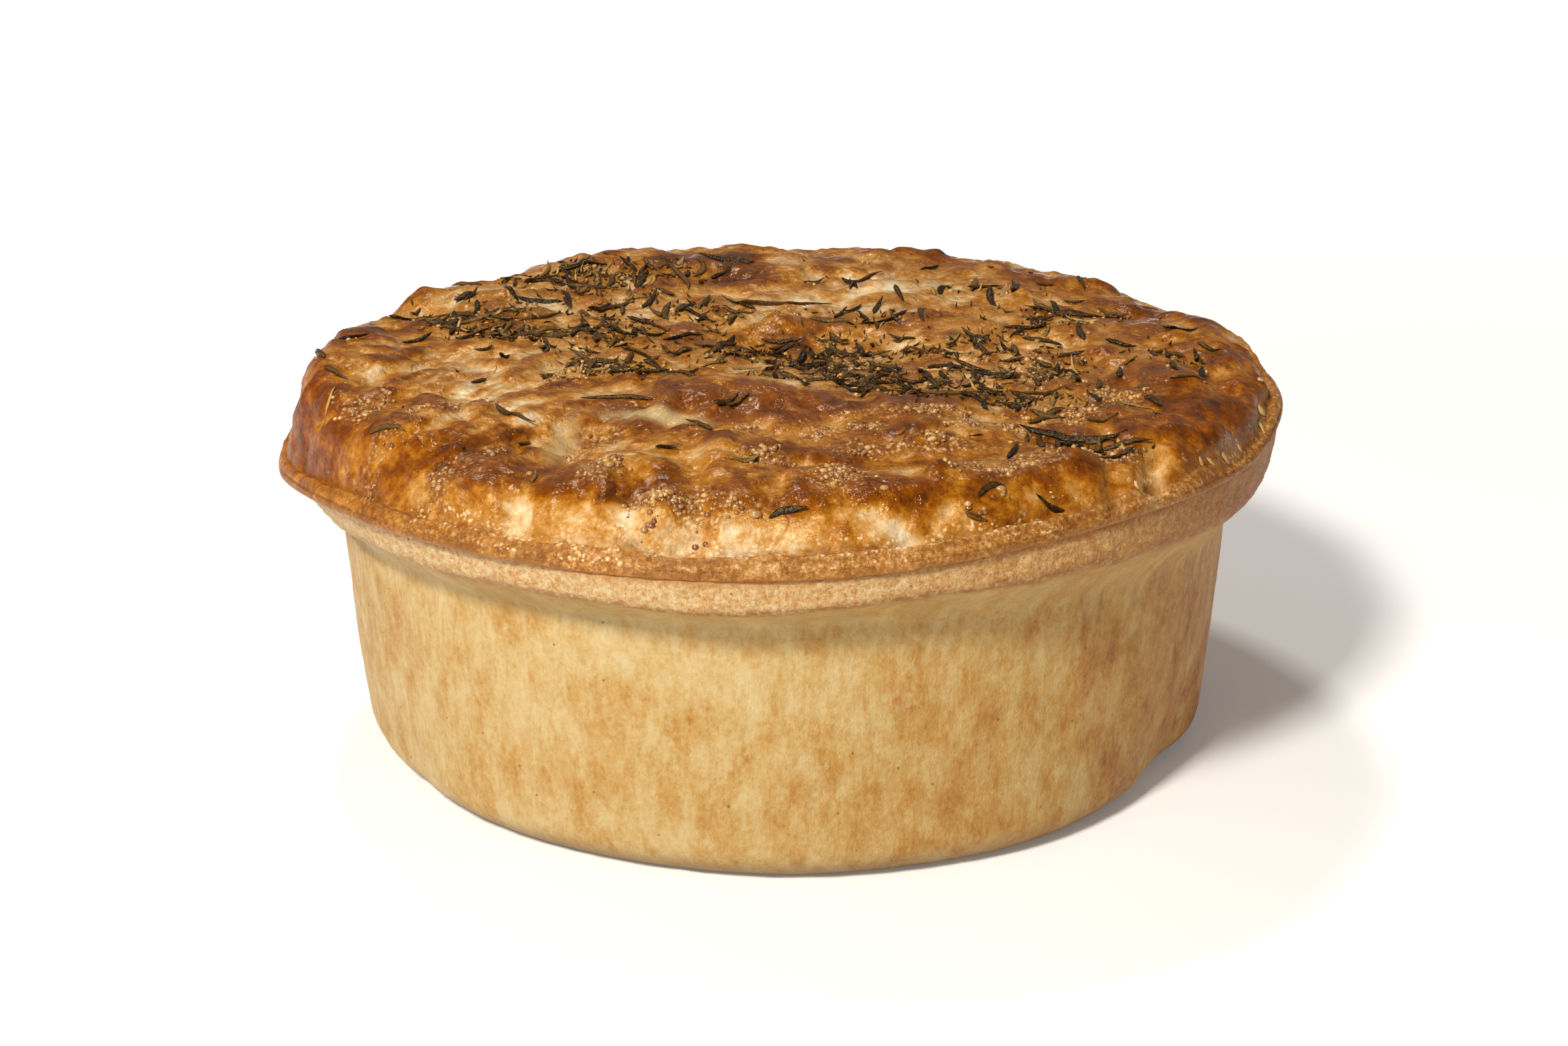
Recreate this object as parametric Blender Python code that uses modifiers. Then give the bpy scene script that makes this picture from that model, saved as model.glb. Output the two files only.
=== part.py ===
"""A deep chicken and ham pie: a hot-water pastry case and a puffed, folded lid strewn with herb leaves.

Lengths are in metres and +Z is up. The origin is in the middle of the flat base. -Y is the front,
where the case and the lid's rim hang a little lower on the left than on the right.
"""

import math
import random
from collections import namedtuple

import bmesh
import bpy
import numpy as np
from mathutils import Vector
from mathutils.bvhtree import BVHTree

MM = 0.001

# The case, a tapered drum of pastry with a flange that flares out at the top
BASE_RADIUS = 66.4 * MM
BASE_ROUNDING = 6.0 * MM
BASE_WOBBLE = 0.4 * MM
BASE_WOBBLE_COUNTS = (3.0, 7.0)
BASE_WOBBLE_START = 0.6
FOOT_HEIGHT = 20.0 * MM
WALL_TOP_RADIUS = 68.9 * MM
CREASE_HEIGHT = 37.6 * MM
CREASE_SWAY = 2.1 * MM
FLANGE_RADIUS = 76.2 * MM
FLANGE_EDGE = 5.4 * MM
FLANGE_CORNER = 0.7 * MM
FLANGE_UNDER = 1.7 * MM
FLANGE_UNDER_TURN = 0.3 * math.pi
FLANGE_LEANS = ((math.pi, 3.4 * MM), (0.0, 1.0 * MM))
FLANGE_LEAN_SPREAD = 0.8
FLARE_POWER = 1.35
CASE_STEPS = 90
WALL_ROWS = 4
FLARE_ROWS = 4
UNDER_ROWS = 2
ROUNDING_ROWS = 3
MERGE_DISTANCE = 0.05 * MM

# Stretches of the pie's round: bearing and spread in degrees, and how far they stand out in mm
Stretch = namedtuple("Stretch", "bearing spread amount")
BASE_BULGES = (
    Stretch(-28, 8, -2.3),
    Stretch(-166, 12, -0.9),
    Stretch(-146, 4, -0.5),
    Stretch(-98, 9, -0.3),
    Stretch(-60, 14, 0.25),
    Stretch(42, 12, -1.2),
    Stretch(98, 9, -0.8),
    Stretch(138, 8, -1.4),
)

# The seam between case and lid, which rises to the right and ripples round the rim
SEAM_HEIGHT = 49.6 * MM
SEAM_ROLL = 3.6 * MM
SEAM_PITCH = 0.6 * MM
SEAM_RIPPLE = 0.45 * MM
SEAM_RIPPLES = 4
SEAM_FLAT_RADIUS = 69.0 * MM
SEAM_GAP = 0.3 * MM

# The drooping ear of the lid on the left, by its bearing round the rim
EAR_BEARING = math.radians(191.0)
EAR_DROP = 2.0 * MM
EAR_DROP_SPREAD = math.radians(14.0)
EAR_REACH = 0.7 * MM
EAR_REACH_SPREAD = math.radians(9.0)

# The sagging stretch of rim on the right, behind a shallow dent in the lip
SAG_BEARING = math.radians(28.0)
SAG_DROP = 1.8 * MM
SAG_SPREAD = math.radians(13.0)
DENT_BEARING = math.radians(3.0)
DENT_DEPTH = 1.5 * MM
DENT_SPREAD = math.radians(9.0)

# The lid, a thick sheet that rises steeply inside its pressed lip
LIP_RADIUS = 76.9 * MM
LIP_SHIFT = 0.45 * MM
LIP_THICKNESS = 3.3 * MM
LIP_ROUNDING = 2.3 * MM
LIP_WOBBLES = ((0.25 * MM, 5.0, 1.0), (0.2 * MM, 9.0, 2.0))
GROOVE_INSET = 2.9 * MM
GROOVE_DEPTH = 0.45 * MM
GROOVE_WIDTH = 0.7 * MM
CRACK_BEARING = math.radians(-24.0)
CRACK_SPREAD = math.radians(24.0)
CRACK_DEPTH = 0.9 * MM
RISE_INSET = 2.7 * MM
RISE_EARLY_LEFT = 1.1 * MM
RISE_SPAN = 8.8 * MM
RISE_SPAN_BACK = 5.5 * MM
RISE_SPAN_LEFT = -1.6 * MM
RISE_POWER = 3.0
RISE_POWER_BACK = -0.6
BACK_START = -10.0 * MM
BACK_SPAN = 60.0 * MM
LEFT_SPAN = 70.0 * MM
LEFT_FRONT = -50.0 * MM
LEFT_FRONT_SPAN = 30.0 * MM
PLATEAU_HEIGHT = 59.4 * MM
PLATEAU_FALL = 1.0 * MM
PLATEAU_SPAN = 70.0 * MM
SHOULDER_START = 1.0 * MM
SHOULDER_CLIMB = 4.0 * MM
SHOULDER_END = 14.0 * MM
SHOULDER_FADE = 16.0 * MM
LID_TOP_RINGS = 20
LID_RING_SPREAD = 1.35
LID_EDGE_INSET = 0.7 * MM

# The lid's section beyond its top: inset from the lip and height above the seam
LID_STATIONS = (
    (0.25 * MM, 0.45 * LIP_THICKNESS),
    (0.0, 0.3 * LIP_THICKNESS),
    (0.5 * MM, SEAM_GAP + 0.25 * MM),
    (1.5 * MM, SEAM_GAP),
    (LIP_RADIUS - SEAM_FLAT_RADIUS + 0.5 * MM, SEAM_GAP),
)

# Stretches of the lid's shoulder that stand higher or lower
RIM_RISES = (
    Stretch(119, 10, 1.3),
    Stretch(137, 5, -0.4),
    Stretch(150, 6, 1.0),
    Stretch(160, 6, -2.2),
    Stretch(174, 6, -1.0),
    Stretch(97, 6, 0.5),
    Stretch(88, 5, -0.9),
    Stretch(71, 4, 0.4),
    Stretch(33, 8, -1.2),
    Stretch(22, 5, -1.8),
    Stretch(11, 6, -0.5),
)

# Knuckles and creases of the lid's edge: how much further out the lid starts to rise
KNUCKLES = (
    Stretch(9, 12, 2.4),
    Stretch(-20, 12, 0.5),
    Stretch(-39, 6, 1.1),
    Stretch(-46, 2.5, -1.2),
    Stretch(-53, 5, 1.1),
    Stretch(-61, 3, -0.6),
    Stretch(-76, 2.5, -0.8),
    Stretch(-84, 4, 0.6),
    Stretch(-91, 2.5, -0.5),
    Stretch(-100, 2.5, -0.9),
    Stretch(-107, 5, 0.7),
    Stretch(-117, 3, -0.6),
    Stretch(-126, 5, 0.5),
    Stretch(-136, 3, -0.6),
    Stretch(72, 4, -0.8),
    Stretch(121, 4, -0.7),
)

# Folds, crests and hollows of the lid: middle, half length, half width, heading and height
Form = namedtuple("Form", "x y half_length half_width heading rise")
FORMS = {
    "front crest": Form(-9, -28, 12, 5.5, 8, 4.0),
    "front crest, right end": Form(14, -35, 16, 5.5, -5, 1.7),
    "sunken middle": Form(4, 2, 17, 12, 0, -3.2),
    "sunken middle, right arm": Form(30, -6, 22, 12, 0, -1.5),
    "knob in the middle": Form(-1, 13, 4.5, 3.6, 0, 2.2),
    "back crest": Form(-8, 51, 32, 9, 0, 1.2),
    "back rib": Form(1, 50, 4, 9, 10, 1.0),
    "scorched dent": Form(-9, 42, 6, 5, 0, -1.6),
    "left shoulder": Form(-66, -6, 22, 8, 88, 1.8),
    "right shoulder": Form(64, 0, 22, 8, 92, 0.9),
    "back left knuckle": Form(-63, 32, 4, 4, 120, 1.2),
    "stretched hollow": Form(-30, -49, 13, 4.5, 70, -2.6),
    "hollow before the crest": Form(-24, -41, 11, 3.5, 8, -1.2),
    "bank of the hollow": Form(-22, -58, 7, 4, 60, 1.6),
    "front hump": Form(-8, -54, 5, 9, 8, 1.8),
    "front hump, right": Form(26, -62, 12, 5, 5, 1.2),
    "front trough": Form(13, -54, 14, 4.5, 4, -1.3),
    "front trough, left": Form(-19, -65, 7, 4, 0, -1.6),
    "left fold": Form(-50, -42, 16, 5, 42, 1.6),
    "left fold's trough": Form(-44, -52, 16, 3.6, 38, -1.6),
    "left dimple": Form(-62, -36, 6, 4, 40, -1.4),
    "right fold": Form(57, -16, 12, 5.5, -62, 1.9),
    "right fold's trough": Form(64, -20, 12, 3.2, -66, -1.9),
    "right trough": Form(40, -46, 12, 4, -48, -1.4),
    "right hump": Form(55, -42, 8, 5, 50, 1.8),
    "middle ripple": Form(22, -45, 10, 3.5, 8, 1.0),
    "right knuckle": Form(39, -56, 5, 5, 0, 1.0),
    "front knuckle": Form(8, -62, 6, 5, 0, 0.8),
}
FORM_SPREAD = 6.0 * MM
LONG_SWELL = (0.22 * MM, 15.0 * MM, 3)
SHORT_SWELL = (0.14 * MM, 7.0 * MM, 5)
SWELL_WAVES = 14

# Herb leaves baked on to the lid: the longest by place, the rest strewn over patches
Leaf = namedtuple("Leaf", "x y length heading")
LONG_LEAVES = (
    Leaf(0, 25, 16, 8),
    Leaf(14, 38, 13, 62),
    Leaf(-18, 38, 13, -72),
    Leaf(-26, 8, 12, -58),
    Leaf(-22, 12, 11, -52),
    Leaf(-31, 5, 10, -50),
    Leaf(-22, -7, 9, -48),
    Leaf(-31, -10, 10, -66),
    Leaf(-24, -31, 11, -14),
    Leaf(-38, -37, 9, -48),
    Leaf(-12, -42, 8, -62),
    Leaf(40, -44, 15, -12),
    Leaf(45, 18, 13, -6),
    Leaf(57, -8, 8, 78),
    Leaf(6, 5, 10, 66),
    Leaf(-35, 45, 10, 20),
    Leaf(-10, 49, 10, -12),
    Leaf(38, 33, 9, 84),
    Leaf(16, 16, 9, 28),
    Leaf(27, -66, 5, 40),
    Leaf(-55, -44, 7, -35),
    Leaf(0.5, -71.5, 5, 0),
)
Patch = namedtuple("Patch", "x y half_length half_width weight")
HERB_PATCHES = (
    Patch(6, 0, 9, 8, 13),
    Patch(8, -14, 9, 10, 14),
    Patch(-35, 42, 10, 6, 9),
    Patch(-22, 42, 8, 5, 5),
    Patch(-48, 15, 7, 5, 7),
    Patch(-45, 6, 9, 5, 8),
    Patch(-28, 6, 8, 10, 10),
    Patch(-33, 27, 14, 8, 5),
    Patch(-14, 18, 6, 6, 4),
    Patch(-25, -14, 8, 4, 7),
    Patch(-10, 2, 6, 8, 4),
    Patch(15, 14, 8, 7, 4),
    Patch(30, 3, 12, 5, 9),
    Patch(43, 15, 8, 5, 6),
    Patch(37, -13, 11, 8, 10),
    Patch(20, -22, 10, 8, 8),
    Patch(33, -30, 12, 5, 6),
    Patch(40, -47, 8, 4, 4),
    Patch(58, -8, 5, 8, 2),
    Patch(-55, 20, 8, 8, 2),
    Patch(34, 34, 12, 8, 2),
    Patch(0, 0, 60, 56, 9),
)
PATCH_SPREAD = 0.6
STREWN_LEAVES = 74
STREWN_LENGTHS = (4.5 * MM, 8.5 * MM)
LEAF_SPACING = 4.2 * MM
LEAF_WIDTH = 1.5 * MM
LEAF_DEPTH = 1.7 * MM
LEAF_SINK = 0.05 * MM
LEAF_BOW = 0.14
LEAF_EDGE_MARGIN = 9.0 * MM
LEAF_SEGMENTS = 5
LEAF_ROWS = 4
HERB_SEED = 21

CASE_COLOUR = (0.70, 0.47, 0.21)
CASE_ROUGHNESS = 0.6
LID_COLOUR = (0.47, 0.21, 0.055)
LID_ROUGHNESS = 0.3


def clear_scene():
    """Empty the scene of its objects."""
    for thing in list(bpy.data.objects):
        bpy.data.objects.remove(thing, do_unlink=True)


def new_collection(name):
    """Return a new collection that is linked to the scene."""
    collection = bpy.data.collections.new(name)
    bpy.context.scene.collection.children.link(collection)
    return collection


def baked_pastry(name, colour, roughness):
    """Return the Principled material of one pastry."""
    material = bpy.data.materials.new(name)
    material.use_nodes = True
    surface = material.node_tree.nodes["Principled BSDF"]
    surface.inputs["Base Color"].default_value = (*colour, 1.0)
    surface.inputs["Roughness"].default_value = roughness
    surface.inputs["Metallic"].default_value = 0.0
    return material


def read_points(mesh):
    """Return a mesh's vertices as an array of x, y, z rows."""
    flat = np.empty(3 * len(mesh.vertices))
    mesh.vertices.foreach_get("co", flat)
    return flat.reshape(-1, 3)


def write_points(mesh, x, y, z):
    """Move a mesh's vertices to x, y and z."""
    mesh.vertices.foreach_set("co", np.column_stack((x, y, z)).ravel())
    mesh.update()


def smoothstep(value):
    """Ease from 0 to 1 as value does."""
    value = np.clip(value, 0.0, 1.0)
    return value * value * (3.0 - 2.0 * value)


def bell(bearing, middle, spread):
    """Return 1 at one bearing round the rim, falling to 0 over the spread."""
    turn = np.arctan2(np.sin(bearing - middle), np.cos(bearing - middle))
    return np.exp(-((turn / spread) ** 2))


def total_stretch(stretches, bearing):
    """Return how far stretches of the round stand out at a bearing, in metres."""
    total = np.zeros_like(bearing)
    for stretch in stretches:
        reach = bell(bearing, math.radians(stretch.bearing), math.radians(stretch.spread))
        total += stretch.amount * MM * reach
    return total


def swell(x, y, size, wavelength, seed):
    """Return a gentle random relief, a sum of waves that run in all directions."""
    draw = random.Random(seed)
    height = np.zeros_like(x)
    for _ in range(SWELL_WAVES):
        heading = draw.uniform(0.0, 2.0 * math.pi)
        pitch = 2.0 * math.pi / (wavelength * draw.uniform(0.7, 1.4))
        start = draw.uniform(0.0, 2.0 * math.pi)
        height += np.sin(pitch * (x * math.cos(heading) + y * math.sin(heading)) + start)
    return height * size / math.sqrt(SWELL_WAVES)


def seam_height(radius, bearing):
    """Return the height at which the lid meets the case: a tilted plane whose edge ripples."""
    tilt = SEAM_ROLL * np.cos(bearing) + SEAM_PITCH * np.sin(bearing)
    ripple = -SEAM_RIPPLE * np.cos(SEAM_RIPPLES * bearing)
    droop = -EAR_DROP * bell(bearing, EAR_BEARING, EAR_DROP_SPREAD)
    droop -= SAG_DROP * bell(bearing, SAG_BEARING, SAG_SPREAD)
    edge = smoothstep((radius - SEAM_FLAT_RADIUS) / (FLANGE_RADIUS - SEAM_FLAT_RADIUS))
    return SEAM_HEIGHT + tilt * radius / FLANGE_RADIUS + edge * (ripple + droop)


def crease_height(bearing):
    """Return the height at which the wall turns into the flange, lower at both sides."""
    return CREASE_HEIGHT - CREASE_SWAY * np.cos(2.0 * bearing)


def lip_radius(bearing):
    """Return the lid's outer radius, further out at the ear on the left and dented on the right."""
    ear = EAR_REACH * bell(bearing, EAR_BEARING, EAR_REACH_SPREAD)
    dent = DENT_DEPTH * bell(bearing, DENT_BEARING, DENT_SPREAD)
    wobble = sum(size * np.sin(count * bearing + start) for size, count, start in LIP_WOBBLES)
    return LIP_RADIUS - LIP_SHIFT * np.cos(bearing) + ear - dent + wobble


def folds(x, y):
    """Return the height of all the lid's folds, crests and hollows at a place."""
    height = np.zeros_like(x)
    for form in FORMS.values():
        along = Vector((math.cos(math.radians(form.heading)), math.sin(math.radians(form.heading))))
        run = (x - form.x * MM) * along.x + (y - form.y * MM) * along.y
        across = (y - form.y * MM) * along.x - (x - form.x * MM) * along.y
        spread = (run / (form.half_length * MM)) ** 2 + (across / (form.half_width * MM)) ** 2
        height += form.rise * MM * np.exp(-spread)
    return height


def lid_height(x, y):
    """Return the height of the lid's top at a place inside its lip."""
    bearing = np.arctan2(y, x)
    inset = lip_radius(bearing) - np.hypot(x, y)
    corner = np.clip(LIP_ROUNDING - inset, 0.0, LIP_ROUNDING) / LIP_ROUNDING
    lip = seam_height(FLANGE_RADIUS, bearing) + LIP_THICKNESS * np.sqrt(1.0 - corner**2)
    back = smoothstep((y - BACK_START) / BACK_SPAN)
    left = np.clip(-x / LEFT_SPAN, 0.0, 1.0) * (1.0 - back)
    left = left * np.clip((y - LEFT_FRONT) / LEFT_FRONT_SPAN, 0.0, 1.0)
    plateau = PLATEAU_HEIGHT - PLATEAU_FALL * np.clip(-y / PLATEAU_SPAN, 0.0, 1.0)
    span = RISE_SPAN + RISE_SPAN_BACK * back + RISE_SPAN_LEFT * left
    early = RISE_EARLY_LEFT * left + total_stretch(KNUCKLES, bearing)
    climb = np.clip((inset - RISE_INSET + early) / span, 0.0, 1.0)
    puff = 1.0 - (1.0 - climb) ** (RISE_POWER + RISE_POWER_BACK * back)
    relief = folds(x, y) + swell(x, y, *LONG_SWELL) + swell(x, y, *SHORT_SWELL)
    depth = GROOVE_DEPTH + CRACK_DEPTH * bell(bearing, CRACK_BEARING, CRACK_SPREAD)
    groove = depth * np.exp(-(((inset - GROOVE_INSET) / GROOVE_WIDTH) ** 2))
    inside = smoothstep((inset - RISE_INSET) / FORM_SPREAD)
    shoulder = smoothstep((inset - SHOULDER_START) / SHOULDER_CLIMB)
    shoulder = shoulder * (1.0 - smoothstep((inset - SHOULDER_END) / SHOULDER_FADE))
    rises = total_stretch(RIM_RISES, bearing) * shoulder
    return lip + (plateau - lip) * puff + inside * relief + rises - groove


def case_profile():
    """Return the case's section as (radius, height) pairs, from the axis at the top down to the base."""
    flange_foot = SEAM_HEIGHT - FLANGE_EDGE
    profile = [
        (0.0, SEAM_HEIGHT),
        (SEAM_FLAT_RADIUS, SEAM_HEIGHT),
        (0.5 * (SEAM_FLAT_RADIUS + FLANGE_RADIUS), SEAM_HEIGHT),
        (FLANGE_RADIUS - FLANGE_CORNER, SEAM_HEIGHT),
        (FLANGE_RADIUS, SEAM_HEIGHT - FLANGE_CORNER),
        (FLANGE_RADIUS, flange_foot + FLANGE_UNDER),
    ]
    for row in range(1, UNDER_ROWS + 1):
        turn = FLANGE_UNDER_TURN * row / UNDER_ROWS
        radius = FLANGE_RADIUS - FLANGE_UNDER * (1.0 - math.cos(turn))
        profile.append((radius, flange_foot + FLANGE_UNDER * (1.0 - math.sin(turn))))
    under_radius, under_height = profile[-1]
    for row in range(1, FLARE_ROWS + 1):
        fall = row / FLARE_ROWS
        radius = WALL_TOP_RADIUS + (under_radius - WALL_TOP_RADIUS) * (1.0 - fall) ** FLARE_POWER
        profile.append((radius, under_height + (CREASE_HEIGHT - under_height) * fall))
    for row in range(1, WALL_ROWS + 1):
        height = CREASE_HEIGHT + (BASE_ROUNDING - CREASE_HEIGHT) * row / WALL_ROWS
        taper = (WALL_TOP_RADIUS - BASE_RADIUS) * height / CREASE_HEIGHT
        profile.append((BASE_RADIUS + taper, height))
    wall_foot = profile[-1][0]
    for row in range(1, ROUNDING_ROWS + 1):
        turn = 0.5 * math.pi * row / ROUNDING_ROWS
        radius = wall_foot - BASE_ROUNDING * (1.0 - math.cos(turn))
        profile.append((radius, BASE_ROUNDING * (1.0 - math.sin(turn))))
    profile.append((0.0, 0.0))
    return profile


def turned_solid(name, profile, steps, collection):
    """Return an object made by turning a profile once round the Z axis."""
    outline = bpy.data.meshes.new(name)
    points = [(radius, 0.0, height) for radius, height in profile]
    outline.from_pydata(points, [(i, i + 1) for i in range(len(points) - 1)], [])
    solid = bpy.data.objects.new(name, outline)
    collection.objects.link(solid)
    screw = solid.modifiers.new("Turn", "SCREW")
    screw.steps = steps
    screw.render_steps = steps
    screw.use_merge_vertices = True
    screw.merge_threshold = MERGE_DISTANCE
    turned = bpy.data.meshes.new_from_object(solid.evaluated_get(bpy.context.evaluated_depsgraph_get()))
    solid.modifiers.remove(screw)
    solid.data = turned
    bpy.data.meshes.remove(outline)
    return solid


def build_case(collection):
    """Return the solid pastry case, whose flange follows the seam."""
    case = turned_solid("pastry_case", case_profile(), CASE_STEPS, collection)
    x, y, z = read_points(case.data).T
    bearing = np.arctan2(y, x)
    radius = np.hypot(x, y)
    low = crease_height(bearing)
    rise = (z - CREASE_HEIGHT) / (SEAM_HEIGHT - CREASE_HEIGHT)
    above = low + (seam_height(radius, bearing) - low) * rise
    below = z * low / CREASE_HEIGHT
    first, second = BASE_WOBBLE_COUNTS
    wobble = BASE_WOBBLE * np.sin(first * bearing + BASE_WOBBLE_START) * np.sin(second * bearing)
    wobble = wobble * smoothstep(1.0 - z / CREASE_HEIGHT)
    bulge = total_stretch(BASE_BULGES, bearing) * smoothstep(1.0 - z / FOOT_HEIGHT)
    lean = sum(inward * bell(bearing, middle, FLANGE_LEAN_SPREAD) for middle, inward in FLANGE_LEANS)
    drawn_in = lean * 4.0 * np.clip(rise, 0.0, 1.0) * np.clip(1.0 - rise, 0.0, 1.0)
    scale = 1.0 + (wobble + bulge) * smoothstep(radius / BASE_RADIUS) / BASE_RADIUS - drawn_in / FLANGE_RADIUS
    write_points(case.data, x * scale, y * scale, np.where(z > CREASE_HEIGHT, above, below))
    case.data.materials.append(baked_pastry("baked_case", CASE_COLOUR, CASE_ROUGHNESS))
    return case


def build_lid(collection):
    """Return the bare lid: a grid whose squares become rings, folded over the lip and closed below."""
    rings = LID_TOP_RINGS + len(LID_STATIONS)
    shape = bmesh.new()
    bmesh.ops.create_grid(shape, x_segments=2 * rings, y_segments=2 * rings, size=1.0)
    rim = [edge for edge in shape.edges if edge.is_boundary]
    bmesh.ops.contextual_create(shape, geom=rim)
    mesh = bpy.data.meshes.new("pastry_lid")
    shape.to_mesh(mesh)
    shape.free()

    u, v, _ = read_points(mesh).T
    ring = np.rint(np.maximum(np.abs(u), np.abs(v)) * rings).astype(int)
    wide = np.abs(u) >= np.abs(v)
    slope = np.where(wide, v / np.where(u == 0.0, 1.0, u), u / np.where(v == 0.0, 1.0, v))
    bearing = np.where(wide, slope * math.pi / 4.0, math.pi / 2.0 - slope * math.pi / 4.0)
    bearing = bearing + np.where(np.where(wide, u, v) < 0.0, math.pi, 0.0)

    outer = lip_radius(bearing)
    top_reach = outer - LID_EDGE_INSET
    radius = top_reach * (1.0 - (1.0 - np.clip(ring / LID_TOP_RINGS, 0.0, 1.0)) ** LID_RING_SPREAD)
    height = lid_height(radius * np.cos(bearing), radius * np.sin(bearing))
    for count, (inset, lift) in enumerate(LID_STATIONS, start=LID_TOP_RINGS + 1):
        here = ring == count
        reach = outer - inset if count < rings else np.full_like(outer, LIP_RADIUS - inset)
        radius = np.where(here, reach, radius)
        height = np.where(here, seam_height(radius, bearing) + lift, height)
    write_points(mesh, radius * np.cos(bearing), radius * np.sin(bearing), height)

    lid = bpy.data.objects.new("pastry_lid", mesh)
    collection.objects.link(lid)
    mesh.materials.append(baked_pastry("glazed_lid", LID_COLOUR, LID_ROUGHNESS))
    return lid


def strewn_leaves(draw):
    """Return the leaves that fall on the herb patches, kept a little apart, longest first."""
    leaves = []
    for leaf in LONG_LEAVES:
        leaves.append(Leaf(leaf.x * MM, leaf.y * MM, leaf.length * MM, math.radians(leaf.heading)))
    weights = [patch.weight for patch in HERB_PATCHES]
    wanted = len(leaves) + STREWN_LEAVES
    while len(leaves) < wanted:
        patch = draw.choices(HERB_PATCHES, weights)[0]
        x = MM * draw.gauss(patch.x, PATCH_SPREAD * patch.half_length)
        y = MM * draw.gauss(patch.y, PATCH_SPREAD * patch.half_width)
        heading = draw.uniform(0.0, 2.0 * math.pi)
        share = (len(leaves) - len(LONG_LEAVES)) / STREWN_LEAVES
        length = STREWN_LENGTHS[1] + (STREWN_LENGTHS[0] - STREWN_LENGTHS[1]) * share
        inside = math.hypot(x, y) < LIP_RADIUS - LEAF_EDGE_MARGIN
        clear = all(math.hypot(x - leaf.x, y - leaf.y) > LEAF_SPACING for leaf in leaves)
        if inside and clear:
            leaves.append(Leaf(x, y, length, heading))
    return leaves


def build_leaf(number, leaf, bow, lid_surface, collection):
    """Add one bowed leaf that lies half sunk in the lid and follows its surface."""
    shape = bmesh.new()
    bmesh.ops.create_uvsphere(shape, u_segments=LEAF_SEGMENTS, v_segments=LEAF_ROWS, radius=0.5)
    for vertex in shape.verts:
        across, up, along = vertex.co
        run = along * leaf.length
        side = across * LEAF_WIDTH + bow * leaf.length * (0.5 - along) * (0.5 + along)
        x = leaf.x + run * math.cos(leaf.heading) - side * math.sin(leaf.heading)
        y = leaf.y + run * math.sin(leaf.heading) + side * math.cos(leaf.heading)
        ground = lid_surface.ray_cast(Vector((x, y, 2.0 * PLATEAU_HEIGHT)), Vector((0.0, 0.0, -1.0)))[0]
        vertex.co = (x, y, ground.z + up * LEAF_DEPTH - LEAF_SINK)
    bmesh.ops.recalc_face_normals(shape, faces=shape.faces)
    mesh = bpy.data.meshes.new(f"leaf_{number}")
    shape.to_mesh(mesh)
    shape.free()
    collection.objects.link(bpy.data.objects.new(mesh.name, mesh))


def fuse_leaves(lid):
    """Join the herb leaves to the lid by one union."""
    shape = bmesh.new()
    shape.from_mesh(lid.data)
    lid_surface = BVHTree.FromBMesh(shape)
    shape.free()
    loose = new_collection("herb leaves")
    draw = random.Random(HERB_SEED)
    for number, leaf in enumerate(strewn_leaves(draw)):
        build_leaf(number, leaf, draw.uniform(-LEAF_BOW, LEAF_BOW), lid_surface, loose)
    union = lid.modifiers.new("Fuse", "BOOLEAN")
    union.operation = "UNION"
    union.operand_type = "COLLECTION"
    union.collection = loose
    union.solver = "EXACT"
    fused = bpy.data.meshes.new_from_object(lid.evaluated_get(bpy.context.evaluated_depsgraph_get()))
    lid.modifiers.remove(union)
    lid.data = fused
    for leaf in list(loose.objects):
        bpy.data.objects.remove(leaf, do_unlink=True)
    bpy.data.collections.remove(loose)


def main():
    """Build the pie."""
    clear_scene()
    pie = new_collection("chicken_and_ham_pie")
    case = build_case(pie)
    lid = build_lid(pie)
    bpy.context.view_layer.update()
    fuse_leaves(lid)
    for solid in (case, lid):
        solid.data.shade_smooth()


main()
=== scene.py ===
"""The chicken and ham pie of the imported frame, dressed.

It has a baked case, a glazed lid, dried herb leaves, beads of set glaze and torn flakes of crust. Lengths
are in metres in the frame's own axes: +Z is up, -Y is the front and the flat base is at z = 0. Plan places
of folds, browned patches and herbs are given in millimetres, as in the part's source.
"""

import itertools
import logging
import math
import random
from collections.abc import Iterable, Sequence
from dataclasses import dataclass, field
from enum import Enum
from typing import Any

import bmesh
import bpy
import numpy as np
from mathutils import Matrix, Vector
from mathutils.bvhtree import BVHTree


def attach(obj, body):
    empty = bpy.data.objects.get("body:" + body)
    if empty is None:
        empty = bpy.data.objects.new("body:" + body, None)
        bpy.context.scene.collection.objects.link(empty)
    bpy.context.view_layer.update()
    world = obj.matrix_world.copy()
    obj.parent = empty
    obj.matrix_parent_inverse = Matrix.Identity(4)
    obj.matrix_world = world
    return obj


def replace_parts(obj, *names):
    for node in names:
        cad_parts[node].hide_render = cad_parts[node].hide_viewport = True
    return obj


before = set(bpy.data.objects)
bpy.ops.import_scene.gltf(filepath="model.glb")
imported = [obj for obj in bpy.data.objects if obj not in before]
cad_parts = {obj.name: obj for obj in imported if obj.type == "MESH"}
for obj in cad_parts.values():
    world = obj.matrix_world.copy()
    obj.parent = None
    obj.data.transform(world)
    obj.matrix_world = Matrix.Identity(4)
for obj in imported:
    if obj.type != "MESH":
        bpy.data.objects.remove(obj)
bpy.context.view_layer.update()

logging.basicConfig(level=logging.INFO, format="%(message)s")
log = logging.getLogger("pie")

MM = 0.001
FRONT = -0.5 * math.pi
LEFT = math.pi
RIGHT = 0.0

Array = np.ndarray
Colour = tuple[float, float, float]
Shown = tuple[int, int, int]
Stops = tuple[tuple[float, Shown], ...]


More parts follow.
